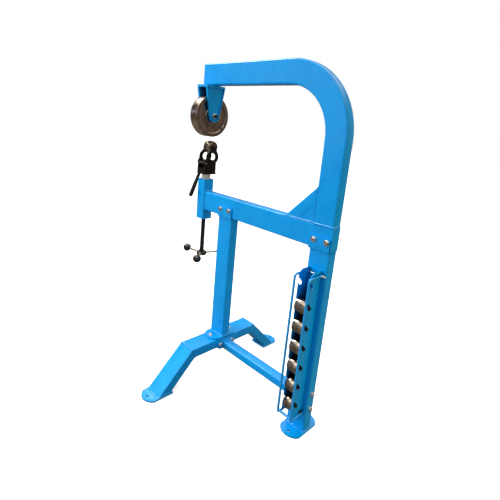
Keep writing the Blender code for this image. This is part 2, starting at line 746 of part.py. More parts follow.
def make_front_leg(side, name):
    """One slanted leg of the front foot, welded to its floor plate."""
    half_turn = LEG_ANGLE / 2
    down = Vector((0, side * math.cos(LEG_ANGLE), -math.sin(LEG_ANGLE)))
    inward = Vector((0, -side * math.sin(LEG_ANGLE), -math.cos(LEG_ANGLE)))
    corner = Vector((FRONT_COLUMN_X, side * (BEAM_HALF_SPAN + FIT_GAP / 2), BEAM_TOP))
    start = corner + inward * (BEAM_DEPTH / 2)
    length = BEAM_TOP / math.sin(LEG_ANGLE) + BEAM_DEPTH
    bm = straight_tube(start - down * BEAM_DEPTH, start + down * length, X_AXIS, BEAM_WIDTH, BEAM_DEPTH,
                       STRETCHER_CORNER, TUBE_WALL)
    mitre(bm, corner, Vector((0, -side * math.cos(half_turn), math.sin(half_turn))))
    mitre(bm, Vector((0, 0, PLATE_T - FUSE_OVERLAP)), -Z_AXIS)
    leg = link("front_leg_" + name, to_mesh(bm, "front_leg_" + name), "blue_paint")
    outer_y = BEAM_HALF_SPAN + (BEAM_TOP - PLATE_T) / math.tan(LEG_ANGLE)
    heel_y = outer_y - BEAM_DEPTH / math.sin(LEG_ANGLE) - FOOT_HEEL
    toe_y = outer_y + FOOT_TOE
    bow = d_end(FOOT_HALF_WIDTH, toe_y, FOOT_SAGITTA)
    outline = bow + [(-FOOT_HALF_WIDTH, heel_y), (FOOT_HALF_WIDTH, heel_y)]
    hole = circle((0, toe_y + FOOT_SAGITTA - FOOT_HOLE_INSET), FOOT_HOLE_RADIUS, DRILL_SEGMENTS)
    place = frame_matrix(Vector((FRONT_COLUMN_X, 0, PLATE_T / 2)), X_AXIS * side, Y_AXIS * side, Z_AXIS)
    fuse(leg, [plate(outline, [hole], PLATE_T, place)])


def rear_bolt_heights():
    return [STRETCHER_Z + side * REAR_FLANGE_BOLT_SPACING / 2 for side in (-1, 1)]


def stretcher_ends():
    """The X places of the front flange's back and of the rear flange's front."""
    front = FRONT_COLUMN_X + BEAM_WIDTH / 2 + FIT_GAP + FLANGE_T
    rear = THROAT_DEPTH - FIT_GAP - FLANGE_T
    return front, rear


def make_stretcher():
    """The low tube that ties the front beam to the rear column, welded to its two end flanges."""
    front, rear = stretcher_ends()
    start = Vector((front - FUSE_OVERLAP, 0, STRETCHER_Z))
    end = Vector((rear + FUSE_OVERLAP, 0, STRETCHER_Z))
    bm = straight_tube(start, end, Y_AXIS, STRETCHER_WIDTH, STRETCHER_HEIGHT, STRETCHER_CORNER, STRETCHER_WALL)
    stretcher = link("stretcher", to_mesh(bm, "stretcher"), "blue_paint")
    radius = FRONT_FLANGE_HALF_HEIGHT
    reach = FRONT_FLANGE_HALF_LENGTH - radius
    outline = arc((reach, 0), radius, -QUARTER_TURN, QUARTER_TURN, ARC_STEPS)
    outline.extend(arc((-reach, 0), radius, QUARTER_TURN, 3 * QUARTER_TURN, ARC_STEPS))
    holes = [circle((side * FRONT_FLANGE_BOLT_Y, 0), BOLT_RADIUS + FIT_GAP, DRILL_SEGMENTS) for side in (-1, 1)]
    holes.append(circle((0, 0), VENT_RADIUS, DRILL_SEGMENTS))
    place = frame_matrix(Vector((front - FLANGE_T / 2, 0, FRONT_FLANGE_Z)), Y_AXIS, Z_AXIS, X_AXIS)
    flanges = [plate(outline, holes, FLANGE_T, place)]
    half_height = REAR_FLANGE_BOLT_SPACING / 2 + REAR_FLANGE_END
    outline = rounded_rectangle(TUBE_WIDTH + 2 * FUSE_OVERLAP, 2 * half_height, TUBE_CORNER)
    offset = REAR_FLANGE_BOLT_SPACING / 2
    holes = [circle((0, side * offset), BOLT_RADIUS + FIT_GAP, DRILL_SEGMENTS) for side in (-1, 1)]
    place = frame_matrix(Vector((rear + FLANGE_T / 2, 0, STRETCHER_Z)), Y_AXIS, Z_AXIS, X_AXIS)
    flanges.append(plate(outline, holes, FLANGE_T, place))
    fuse(stretcher, flanges)


def through_bolt(name, origin, direction, clamped):
    """A bolt, with its nut run on against the far side of what it clamps."""
    direction = Vector(direction)
    grip = clamped + 2 * FIT_GAP + NUT_HEIGHT + THREAD_END
    item = link(name, bolt(origin, direction, grip), "zinc_plate")
    nut_place = Vector(origin) + direction * (clamped + 2 * FIT_GAP)
    fuse(item, [cylinder(nut_place, direction, NUT_HEIGHT, NUT_RADIUS, NUT_SIDES)])


def make_stand_bolts():
    """Bolts of the saddles, of the front column's foot and of the stretcher's flanges."""
    for i, place in enumerate(saddle_bolt_places()):
        through_bolt("saddle_bolt_" + str(i + 1), place, Y_AXIS, 2 * abs(place.y) - 2 * FIT_GAP)
    front, rear = stretcher_ends()
    for side, name in ((-1, "near"), (1, "far")):
        head = Vector((FRONT_COLUMN_X, side * COLUMN_BOLT_Y, BEAM_TOP + PLATE_T + 2 * FIT_GAP))
        through_bolt("column_foot_bolt_" + name, head, -Z_AXIS, PLATE_T + BEAM_DEPTH + FIT_GAP)
        head = Vector((front + FIT_GAP, side * FRONT_FLANGE_BOLT_Y, FRONT_FLANGE_Z))
        through_bolt("stretcher_bolt_" + name, head, -X_AXIS, FLANGE_T + BEAM_WIDTH + FIT_GAP)
    for z, name in zip(rear_bolt_heights(), ("lower", "upper")):
        head = Vector((REAR_X + FIT_GAP, 0, z))
        through_bolt("rear_column_bolt_" + name, head, -X_AXIS, TUBE_DEPTH + FLANGE_T + FIT_GAP)


# Upper wheel

def fork_leg_outline():
    """Outline of a fork leg in (Y, Z): wide at the top plate, round about the axle."""
    top = FORK_PLATE_BOTTOM - FIT_GAP
    centre = (0, WHEEL_AXIS_Z)
    dz = top - centre[1]
    reach = math.hypot(FORK_PLATE_HALF_Y, dz)
    tilt = math.asin(FORK_LEG_FOOT_RADIUS / reach)
    tangent = tilt - math.atan2(FORK_PLATE_HALF_Y, dz)
    outline = [(FORK_PLATE_HALF_Y, top), (-FORK_PLATE_HALF_Y, top)]
    start = math.pi - tangent
    outline.extend(arc(centre, FORK_LEG_FOOT_RADIUS, start, 2 * math.pi + tangent, ARC_STEPS))
    return outline


def make_fork():
    """The top plate under the arm and the two flanged legs that hold the axle."""
    low = (-FORK_PLATE_HALF_X, -FORK_PLATE_HALF_Y, FORK_PLATE_BOTTOM)
    high = (FORK_PLATE_HALF_X, FORK_PLATE_HALF_Y, FORK_PLATE_TOP)
    link("fork_top_plate", box(low, high), "blue_paint")
    for side, name in ((-1, "front"), (1, "rear")):
        make_fork_leg(side, name)


def make_fork_leg(side, name):
    bm = bmesh.new()
    outline = fork_leg_outline()
    x = side * FORK_LEG_X
    verts = [bm.verts.new((x, y, z)) for y, z in outline]
    bm.faces.new(verts)
    rim = [edge for edge in bm.edges if min(vert.co.z for vert in edge.verts) < outline[0][1] - MERGE_DISTANCE]
    made = bmesh.ops.extrude_edge_only(bm, edges=rim)["geom"]
    moved = [item for item in made if isinstance(item, bmesh.types.BMVert)]
    bmesh.ops.translate(bm, verts=moved, vec=X_AXIS * side * (FORK_LEG_T + FORK_FLANGE))
    bmesh.ops.recalc_face_normals(bm, faces=bm.faces[:])
    face = max(bm.faces, key=lambda item: item.calc_area())
    if face.normal.x * side > 0:
        bmesh.ops.reverse_faces(bm, faces=bm.faces[:])
    mesh = bpy.data.meshes.new("fork_leg_" + name)
    bm.to_mesh(mesh)
    bm.free()
    leg = link("fork_leg_" + name, mesh, "blue_paint")
    shell = leg.modifiers.new("sheet", "SOLIDIFY")
    shell.thickness = FORK_LEG_T
    shell.offset = -1
    shell.use_even_offset = True
    start = Vector((x - side * FORK_LEG_T, 0, WHEEL_AXIS_Z))
    cut(leg, [drill(start, X_AXIS * side, FORK_LEG_T * 3, AXLE_RADIUS + FIT_GAP)])
    corner = Vector((FORK_PLATE_HALF_X, FORK_PLATE_HALF_Y, FORK_PLATE_BOTTOM - FIT_GAP))
    above = Vector((FORK_PLATE_HALF_X, FORK_PLATE_HALF_Y, FORK_PLATE_TOP)) + Vector((OVERRUN, FORK_LEG_T, 0))
    cut(leg, [box((-above.x, -above.y, corner.z), above)])


def wheel_profile():
    half = WHEEL_WIDTH / 2
    lip = WHEEL_RADIUS - WHEEL_LIP
    web = half - WHEEL_RECESS
    boss = half - WHEEL_BOSS_DROP
    upper = [
        (SLEEVE_RADIUS + RUNNING_GAP, boss),
        (WHEEL_BOSS_RADIUS, boss),
        (WHEEL_BOSS_RADIUS, web),
        (lip, web),
        (lip, half),
        (WHEEL_RADIUS - WHEEL_EDGE, half),
        (WHEEL_RADIUS, half - WHEEL_EDGE),
    ]
    return upper + [(radius, -height) for radius, height in reversed(upper)]


def make_upper_wheel():
    """The upper wheel, the sleeve that it runs on, its axle and nuts."""
    axis = Vector((0, 0, WHEEL_AXIS_Z))
    wheel = link("upper_wheel", turned(wheel_profile(), WHEEL_SEGMENTS, along((0, 0, 0), X_AXIS)), "polished_steel")
    wheel.location = axis
    end = FORK_LEG_X - FIT_GAP
    inner = AXLE_RADIUS + FIT_GAP
    ring = [(SLEEVE_RADIUS, end), (SLEEVE_RADIUS, -end), (inner, -end), (inner, end)]
    link("wheel_bearing_sleeve", turned(ring, SHAFT_SEGMENTS, along(axis, X_AXIS)), "bronze")
    nut_start = FORK_LEG_X + FORK_LEG_T + FIT_GAP
    end = nut_start + AXLE_NUT_HEIGHT + AXLE_TIP
    profile = [(0, end), (AXLE_RADIUS, end), (AXLE_RADIUS, -end), (0, -end)]
    link("wheel_axle", turned(profile, SHAFT_SEGMENTS, along(axis, X_AXIS)), "black_oxide")
    for side, name in ((-1, "front"), (1, "rear")):
        direction = X_AXIS * side
        mesh = nut(axis + direction * nut_start, direction, AXLE_RADIUS, AXLE_NUT_RADIUS, AXLE_NUT_HEIGHT)
        link("wheel_axle_nut_" + name, mesh, "zinc_plate")


# Anvils

def anvil_profile(crown_radius):
    """Half section of an anvil whose rim is an arc of the crown radius."""
    half = ANVIL_WIDTH / 2
    bore = AXLE_RADIUS + RUNNING_GAP
    drop = crown_radius - math.sqrt(crown_radius ** 2 - half ** 2)
    rim = []
    for i in range(CROWN_POINTS):
        height = half - ANVIL_WIDTH * i / (CROWN_POINTS - 1)
        sag = crown_radius - math.sqrt(crown_radius ** 2 - height ** 2)
        rim.append((ANVIL_RADIUS - sag, height))
    recess = min(ANVIL_RECESS_RADIUS, ANVIL_RADIUS - drop - ANVIL_RECESS)
    inner = [(recess, -half), (recess, -half + ANVIL_RECESS), (bore, -half + ANVIL_RECESS)]
    outer = [(radius, -height) for radius, height in reversed(inner)]
    return rim + inner + outer


def anvil_mesh(crown_radius):
    return turned(anvil_profile(crown_radius), ANVIL_SEGMENTS, along(Vector((0, 0, 0)), X_AXIS))


def axle_mesh(centre):
    end = ANVIL_AXLE_LENGTH / 2
    profile = [(0, end), (AXLE_RADIUS, end), (AXLE_RADIUS, -end), (0, -end)]
    return turned(profile, DRILL_SEGMENTS, along(centre, X_AXIS))


def make_mounted_anvil():
    centre = Vector((0, ANVIL_OFFSET, ANVIL_Z))
    anvil = link("mounted_anvil", anvil_mesh(MOUNTED_CROWN), "polished_steel")
    anvil.location = centre
    link("mounted_axle", axle_mesh(centre), "black_oxide")


# Yoke, block, cam and lever

def yoke_arm_outline():
    """Outline of a yoke arm in (Y, Z): hinge lug, foot, eye and the open notch for the axle."""
    foot = YOKE_BOTTOM
    axle = (ANVIL_OFFSET, ANVIL_Z)
    eye = (YOKE_EYE_OFFSET, YOKE_BOTTOM + YOKE_EYE_HEIGHT)
    eye_radius = YOKE_EYE_RADIUS + YOKE_EYE_WALL
    notch = AXLE_RADIUS + FIT_GAP
    prong = notch + YOKE_PRONG
    mouth = math.asin(YOKE_NOTCH_DROP / notch)
    rim = axle[1] - YOKE_NOTCH_DROP
    outline = [(PIVOT_Y + LUG_RADIUS, foot), (BLOCK_Y / 2, foot)]
    outline.extend(arc(eye, eye_radius, YOKE_FAR_START, YOKE_FAR_END, TIP_STEPS + TIP_STEPS))
    outline.append((axle[0] + prong, rim))
    outline.extend(arc(axle, notch, -mouth, mouth - math.pi, ARC_STEPS))
    outline.append((axle[0] - prong, rim))
    outline.extend(arc(eye, eye_radius, YOKE_NEAR_START, YOKE_NEAR_END, TIP_STEPS))
    outline.append((PIVOT_Y - LUG_RADIUS, foot + LUG_SHOULDER))
    outline.extend(arc((PIVOT_Y, PIVOT_Z), LUG_RADIUS, math.pi, 2 * math.pi, ARC_STEPS))
    return outline


def make_yoke():
    """The tilting yoke: two arms, the base between them and the tongue that rides on the cam."""
    eye = (YOKE_EYE_OFFSET, YOKE_BOTTOM + YOKE_EYE_HEIGHT)
    holes = [
        circle(eye, YOKE_EYE_RADIUS, ANVIL_SEGMENTS),
        circle((PIVOT_Y, PIVOT_Z), PIVOT_RADIUS + RUNNING_GAP, DRILL_SEGMENTS),
    ]
    arms = []
    for side in (-1, 1):
        centre = Vector((side * (YOKE_ARM_X + YOKE_ARM_T / 2), 0, 0))
        arms.append(plate(yoke_arm_outline(), holes, YOKE_ARM_T, frame_matrix(centre, Y_AXIS, Z_AXIS, X_AXIS)))
    yoke = link("yoke", arms[0], "black_oxide")
    edge = YOKE_ARM_X + FUSE_OVERLAP
    base_low = YOKE_BOTTOM + FUSE_OVERLAP
    base_near = PIVOT_Y + LUG_RADIUS
    base = box((-edge, base_near, base_low), (edge, BLOCK_Y / 2 - FUSE_OVERLAP, base_low + YOKE_BASE_T))
    tongue_low = (-YOKE_TONGUE_HALF_X, -YOKE_TONGUE_NEAR, TONGUE_BOTTOM)
    tongue = box(tongue_low, (YOKE_TONGUE_HALF_X, YOKE_TONGUE_FAR, base_low + FUSE_OVERLAP))
    fuse(yoke, [base, arms[1], tongue])


def make_cradle_block():
    """The block on the ram: pocket for the cam, window, rebates for the yoke's lugs and bores."""
    low = Vector((-BLOCK_X / 2, -BLOCK_Y / 2, BLOCK_BOTTOM))
    high = Vector((BLOCK_X / 2, BLOCK_Y / 2, BLOCK_TOP))
    block = link("cradle_block", box(low, high), "black_oxide")
    edges = block.modifiers.new("edges", "BEVEL")
    edges.width = BLOCK_EDGE
    edges.segments = 1
    lip_low = (low.x + BLOCK_EDGE, high.y - OVERRUN, BLOCK_BOTTOM + FIT_GAP)
    lip = box(lip_low, (high.x - BLOCK_EDGE, high.y + BLOCK_LIP, BLOCK_BOTTOM + BLOCK_LIP_T))
    fuse(block, [lip])
    pocket_low = (-POCKET_HALF_X, -POCKET_NEAR, BLOCK_BOTTOM + POCKET_FLOOR)
    shapes = [box(pocket_low, (POCKET_HALF_X, POCKET_FAR, BLOCK_TOP + OVERRUN))]
    window_low = (-POCKET_HALF_X, low.y - OVERRUN, BLOCK_BOTTOM + WINDOW_LOW)
    window_high = (POCKET_HALF_X, -POCKET_NEAR + OVERRUN, BLOCK_BOTTOM + WINDOW_HIGH)
    cut(block, shapes)
    cut(block, [box(window_low, window_high)])
    rebates = []
    for side in (-1, 1):
        inner_x = side * (YOKE_ARM_X - RUNNING_GAP)
        outer_x = side * (BLOCK_X / 2 + OVERRUN)
        near = low.y - OVERRUN
        rebate_low = (min(inner_x, outer_x), near, BLOCK_TOP - REBATE_DEPTH)
        rebates.append(box(rebate_low, (max(inner_x, outer_x), low.y + REBATE_LENGTH, BLOCK_TOP + OVERRUN)))
    cut(block, rebates)
    bores = [
        drill(Vector((low.x, PIVOT_Y, PIVOT_Z)), X_AXIS, BLOCK_X, PIVOT_RADIUS + FIT_GAP),
        drill(Vector((low.x, 0, CAM_Z)), X_AXIS, BLOCK_X, CAM_SHAFT_RADIUS + RUNNING_GAP),
        cylinder(Vector((0, low.y - OVERRUN, BLOCK_BOTTOM + OIL_HOLE_Z)), Y_AXIS, OIL_HOLE_DEPTH + OVERRUN,
                 OIL_HOLE_RADIUS, BOLT_SEGMENTS),
    ]
    cut(block, bores)


def make_pivot_pin():
    """The yoke's hinge pin, with a screw head at each end."""
    head = YOKE_ARM_X + YOKE_ARM_T + RUNNING_GAP
    end = head + PIVOT_HEAD_HEIGHT
    half = [(0, end), (PIVOT_HEAD_RADIUS, end), (PIVOT_HEAD_RADIUS, head), (PIVOT_RADIUS, head)]
    profile = half + [(radius, -height) for radius, height in reversed(half)]
    centre = Vector((0, PIVOT_Y, PIVOT_Z))
    link("yoke_pivot_pin", turned(profile, DRILL_SEGMENTS, along(centre, X_AXIS)), "zinc_plate")


def make_cam_and_lever():
    """The cam shaft across the block and the quick-release lever on its front end."""
    axis = Vector((0, 0, CAM_Z))
    shaft_end = -LEVER_PLANE + LEVER_BOSS_HALF + FIT_GAP
    length = BLOCK_X / 2 - shaft_end
    shaft = cylinder(Vector((shaft_end, 0, 0)), X_AXIS, length, CAM_SHAFT_RADIUS, SHAFT_SEGMENTS)
    cam_shaft = link("cam_shaft", shaft, "black_oxide")
    cam_shaft.location = axis
    centre = Vector((-CAM_HALF_LENGTH, CAM_OFFSET * math.cos(CAM_START), CAM_OFFSET * math.sin(CAM_START)))
    fuse(cam_shaft, [cylinder(centre, X_AXIS, 2 * CAM_HALF_LENGTH, CAM_RADIUS, ANVIL_SEGMENTS)])
    cam_shaft.modifiers[-1].object.location = axis
    down = Vector((0, -math.sin(LEVER_ANGLE), -math.cos(LEVER_ANGLE)))
    tip = arc((0, LEVER_LENGTH), LEVER_GRIP_RADIUS, QUARTER_TURN, 0, TIP_STEPS)
    root = LEVER_BOSS_RADIUS - OVERRUN
    grip = [(0, LEVER_LENGTH + LEVER_GRIP_RADIUS)] + tip[1:] + [(LEVER_ROOT_RADIUS, root), (0, root)]
    middle = Vector((-LEVER_PLANE, 0, 0))
    boss = cylinder(middle - X_AXIS * LEVER_BOSS_HALF, X_AXIS, 2 * LEVER_BOSS_HALF, LEVER_BOSS_RADIUS,
                    SHAFT_SEGMENTS)
    lever = link("release_lever", boss, "black_oxide")
    lever.location = axis
    fuse(lever, [turned(grip, DRILL_SEGMENTS, along(middle, down))])
    lever.modifiers[-1].object.location = axis


# Adjuster

def make_housing():
    """The square housing on the lower arm's front end, with its threaded block, and the ram's bush."""
    start = Vector((0, 0, HOUSING_BOTTOM))
    end = Vector((0, 0, HOUSING_TOP))
    bm = straight_tube(start, end, X_AXIS, HOUSING_SIZE, HOUSING_SIZE, HOUSING_CORNER, HOUSING_WALL)
    housing = link("adjuster_housing", to_mesh(bm, "adjuster_housing"), "blue_paint")
    half = HOUSING_SIZE / 2 - HOUSING_WALL + FUSE_OVERLAP
    outline = [(half, -half), (half, half), (-half, half), (-half, -half)]
    hole = circle((0, 0), ADJUSTER_RADIUS + RUNNING_GAP, SHAFT_SEGMENTS)
    place = Matrix.Translation((0, 0, HOUSING_BOTTOM + BUSH_INSET + NUT_BLOCK_T / 2))
    fuse(housing, [plate(outline, [hole], NUT_BLOCK_T, place)])
    top = HOUSING_TOP - BUSH_INSET
    low = top - BUSH_LENGTH
    inner = RAM_RADIUS + RUNNING_GAP
    ring = [(BUSH_RADIUS, top), (BUSH_RADIUS, low), (inner, low), (inner, top)]
    link("ram_bush", turned(ring, ANVIL_SEGMENTS, Matrix.Identity(4)), "bronze")


def make_ram():
    edge = RAM_RADIUS - RAM_CHAMFER
    profile = [
        (0, RAM_TOP),
        (RAM_RADIUS, RAM_TOP),
        (RAM_RADIUS, RAM_BOTTOM + RAM_CHAMFER),
        (edge, RAM_BOTTOM),
        (0, RAM_BOTTOM),
    ]
    link("ram", turned(profile, ANVIL_SEGMENTS, Matrix.Identity(4)), "chrome")


def spoke_directions():
    directions = []
    for i in range(SPOKE_COUNT):
        angle = FIRST_SPOKE_ANGLE + i * 2 * math.pi / SPOKE_COUNT
        directions.append(Vector((math.cos(angle), math.sin(angle), 0)))
    return directions


def ball_profile():
    """A ball knob with a blind socket: turned about its spoke, socket end down."""
    socket = SPOKE_RADIUS + FIT_GAP
    first = -math.acos(socket / BALL_RADIUS)
    points = arc((0, 0), BALL_RADIUS, QUARTER_TURN, first, BALL_STEPS)
    points[0] = (0, BALL_RADIUS)
    bottom = points[-1][1] + BALL_SOCKET_DEPTH
    return points + [(socket, bottom), (0, bottom)]


def make_adjuster_screw():
    """The screw, its hub, three spokes and three ball knobs."""
    top = RAM_BOTTOM - FIT_GAP
    hub_low = HUB_Z - HUB_HEIGHT / 2
    hub_high = HUB_Z + HUB_HEIGHT / 2
    screw_low = hub_high + FIT_GAP
    profile = [
        (0, top),
        (ADJUSTER_RADIUS - RAM_CHAMFER, top),
        (ADJUSTER_RADIUS, top - RAM_CHAMFER),
        (ADJUSTER_RADIUS, screw_low),
        (0, screw_low),
    ]
    link("adjuster_screw", turned(profile, SHAFT_SEGMENTS, Matrix.Identity(4)), "black_oxide")
    edge = HUB_RADIUS - HUB_CHAMFER
    profile = [
        (0, hub_high),
        (edge, hub_high),
        (HUB_RADIUS, hub_high - HUB_CHAMFER),
        (HUB_RADIUS, hub_low + HUB_CHAMFER),
        (edge, hub_low),
        (0, hub_low),
    ]
    hub = link("kick_wheel", turned(profile, ANVIL_SEGMENTS, Matrix.Identity(4)), "black_oxide")
    centre = Vector((0, 0, HUB_Z))
    spokes = []
    inset = math.sqrt(BALL_RADIUS ** 2 - (SPOKE_RADIUS + FIT_GAP) ** 2) - BALL_SOCKET_DEPTH
    length = SPOKE_REACH - inset - FIT_GAP - SPOKE_ROOT
    for i, direction in enumerate(spoke_directions()):
        spokes.append(cylinder(centre + direction * SPOKE_ROOT, direction, length, SPOKE_RADIUS, BOLT_SEGMENTS))
        ball = turned(ball_profile(), DRILL_SEGMENTS, along(centre + direction * SPOKE_REACH, direction))
        link("kick_wheel_ball_" + str(i + 1), ball, "black_plastic")
    fuse(hub, spokes)


# Anvil rack

def slot_heights():
    """Heights of the slots' round ends, from the lowest up."""
    return [RACK_BOTTOM + SLOT_FIRST + i * SLOT_PITCH for i in range(SLOT_COUNT)]


def rack_side_outline():
    """Outline of a rack side in (Y, Z), with slots that slope down from the front edge at 45 degrees."""
    outline = [(RACK_BACK_Y, RACK_BOTTOM), (RACK_BACK_Y, RACK_TOP)]
    centre = (RACK_FRONT_Y + RACK_CORNER, RACK_TOP - RACK_CORNER)
    outline.extend(arc(centre, RACK_CORNER, QUARTER_TURN, 2 * QUARTER_TURN, ARC_STEPS))
    step = SLOT_RADIUS / math.sqrt(2)
    for z in reversed(slot_heights()):
        upper = (SLOT_END_Y + step, z + step)
        lower = (SLOT_END_Y - step, z - step)
        outline.append((RACK_FRONT_Y, upper[1] + upper[0] - RACK_FRONT_Y))
        outline.extend(arc((SLOT_END_Y, z), SLOT_RADIUS, QUARTER_TURN / 2, -3 * QUARTER_TURN / 2, SLOT_STEPS))
        outline.append((RACK_FRONT_Y, lower[1] + lower[0] - RACK_FRONT_Y))
    outline.append((RACK_FRONT_Y, RACK_BOTTOM))
    return outline


def make_rack():
    """The folded rack channel on the column's near face."""
    pivot = (BAIL_PIVOT.y, BAIL_PIVOT.z)
    holes = [
        circle(pivot, PIVOT_BOLT_RADIUS + FIT_GAP, BOLT_SEGMENTS),
        circle((STOP_Y, STOP_Z), STOP_ROD_RADIUS + FIT_GAP, BOLT_SEGMENTS),
    ]
    sides = []
    for side in (-1, 1):
        x = RACK_X + side * (RACK_HALF_WIDTH - RACK_T / 2)
        sides.append(plate(rack_side_outline(), holes, RACK_T, frame_matrix(Vector((x, 0, 0)), Y_AXIS, Z_AXIS, X_AXIS)))
    half = RACK_HALF_WIDTH - RACK_T + FUSE_OVERLAP
    low = (RACK_X - half, RACK_BACK_Y - RACK_T, RACK_BOTTOM + FUSE_OVERLAP)
    high = (RACK_X + half, RACK_BACK_Y - MERGE_DISTANCE, RACK_TOP - FUSE_OVERLAP)
    rack = link("rack_channel", box(low, high), "blue_paint")
    fuse(rack, sides)


def make_rack_anvils():
    """Six anvils in the lower slots; the top slot is the mounted anvil's."""
    heights = list(reversed(slot_heights()))[1:]
    for i, (z, crown) in enumerate(zip(heights, RACK_CROWNS)):
        centre = Vector((RACK_X, SLOT_END_Y, z))
        anvil = link("rack_anvil_" + str(i + 1), anvil_mesh(crown), "polished_steel")
        anvil.location = centre
        link("rack_axle_" + str(i + 1), axle_mesh(centre), "black_oxide")


def make_bail_bolt():
    """The long bolt through the rack and the bail's eyes, with its nut and a length of free thread."""
    head_x = -RACK_HALF_WIDTH - BAIL_GAP - 2 * BAIL_RADIUS - BAIL_GAP
    nut_x = -head_x
    end = nut_x + PIVOT_NUT_HEIGHT + PIVOT_THREAD
    profile = [
        (0, end),
        (PIVOT_BOLT_RADIUS, end),
        (PIVOT_BOLT_RADIUS, head_x),
        (PIVOT_NUT_RADIUS, head_x),
        (PIVOT_NUT_RADIUS, head_x - PIVOT_NUT_HEIGHT),
        (0, head_x - PIVOT_NUT_HEIGHT),
    ]
    item = link("bail_bolt", turned(profile, DRILL_SEGMENTS, along(BAIL_PIVOT, X_AXIS)), "zinc_plate")
    fuse(item, [cylinder(BAIL_PIVOT + X_AXIS * nut_x, X_AXIS, PIVOT_NUT_HEIGHT, PIVOT_NUT_RADIUS, NUT_SIDES)])


def bail_side_points():
    """Centre line of one side of the bail in (Y, Z), from its eye to its lower tail."""
    front = RACK_FRONT_Y - BAIL_STANDOFF - BAIL_PIVOT.y
    upper = (front + BAIL_CORNER, -BAIL_CORNER)
    lower = (front + BAIL_CORNER, -BAIL_DROP + BAIL_CORNER)
    tail = RACK_BACK_Y - BAIL_TAIL - BAIL_PIVOT.y
    points = [(-BAIL_EYE_RADIUS / 2 - PIVOT_BOLT_RADIUS, 0)]
    points.extend(arc(upper, BAIL_CORNER, QUARTER_TURN, 2 * QUARTER_TURN, TIP_STEPS))
    points.extend(arc(lower, BAIL_CORNER, 2 * QUARTER_TURN, 3 * QUARTER_TURN, TIP_STEPS))
    points.append((tail, -BAIL_DROP))
    return points


def wire(points):
    """A round bar through the points, as a mesh."""
    curve = bpy.data.curves.new("wire", "CURVE")
    curve.dimensions = "3D"
    curve.bevel_depth = BAIL_RADIUS
    curve.bevel_resolution = 2
    curve.use_fill_caps = True
    spline = curve.splines.new("POLY")
    spline.points.add(len(points) - 1)
    for point, place in zip(spline.points, points):
        point.co = (*place, 1)
    shape = bpy.data.objects.new("wire", curve)
    CUTTERS.objects.link(shape)
    bm = bmesh.new()
    bm.from_mesh(evaluated(shape))
    bpy.data.objects.remove(shape)
    bmesh.ops.remove_doubles(bm, verts=bm.verts[:], dist=MERGE_DISTANCE)
    return to_mesh(bm, "wire")


def make_bail():
    """The bar frame that keeps the anvils in their slots; it swings on the bolt at its top."""
    outline = bail_side_points()
    front = min(y for y, z in outline)
    shapes = []
    for side in (-1, 1):
        shapes.append(wire([(side * BAIL_X, y, z) for y, z in outline]))
    cross_z = -BAIL_DROP + BAIL_CORNER
    shapes.append(wire([(-BAIL_X, front, cross_z), (BAIL_X, front, cross_z)]))
    for side in (-1, 1):
        start = Vector((side * BAIL_X - BAIL_RADIUS, 0, 0))
        shapes.append(cylinder(start, X_AXIS, 2 * BAIL_RADIUS, BAIL_EYE_RADIUS, SHAFT_SEGMENTS))
    bail = link("rack_bail", shapes[2], "blue_paint")
    bail.location = BAIL_PIVOT
    fuse(bail, [shapes[0], shapes[1], shapes[3], shapes[4]])
    length = 2 * (BAIL_X + BAIL_RADIUS)
    start = Vector((-BAIL_X - BAIL_RADIUS, 0, 0))
    cut(bail, [drill(start, X_AXIS, length, PIVOT_BOLT_RADIUS + RUNNING_GAP)])
    for modifier in bail.modifiers:
        modifier.object.location = BAIL_PIVOT


def make_stop_rod():
    """The rod across the rack's lower end, with a rubber stop on each end above the bail's tails."""
    inner = RACK_HALF_WIDTH + FIT_GAP
    outer = inner + STOP_LENGTH
    half = [(0, outer), (STOP_RADIUS, outer), (STOP_RADIUS, inner), (STOP_ROD_RADIUS, inner)]
    profile = half + [(radius, -height) for radius, height in reversed(half)]
    centre = Vector((RACK_X, STOP_Y, STOP_Z))
    link("rack_stop_rod", turned(profile, DRILL_SEGMENTS, along(centre, X_AXIS)), "rubber")


def set_down():
    """Hangs every piece and cutter on an empty, so that the rear foot's middle lies on the origin."""
    rear_foot = bpy.data.objects.new("rear_foot_middle", None)
    bpy.context.scene.collection.objects.link(rear_foot)
    for item in list(PARTS.objects) + list(CUTTERS.objects):
        item.parent = rear_foot
    rear_foot.location.x = -REAR_COLUMN_X


def build():
    make_c_frame()
    make_lower_arm()
    make_corner_brace()
    make_saddle("front_saddle", FRONT_COLUMN_X)
    make_saddle("rear_saddle", REAR_SADDLE_X)
    make_front_column()
    make_rear_column()
    make_front_beam()
    make_stretcher()
    make_stand_bolts()
    make_fork()
    make_upper_wheel()
    make_mounted_anvil()
    make_yoke()
    make_cradle_block()
    make_pivot_pin()
    make_cam_and_lever()
    make_housing()
    make_ram()
    make_adjuster_screw()
    make_rack()
    make_rack_anvils()
    make_bail_bolt()
    make_bail()
    make_stop_rod()
    set_down()


build()
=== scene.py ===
"""Looks of the english wheel: painted tube, ground wheels, blacked yoke, threads, nuts and weld beads."""

import json
import math

import bpy
from mathutils import Matrix, Vector, noise

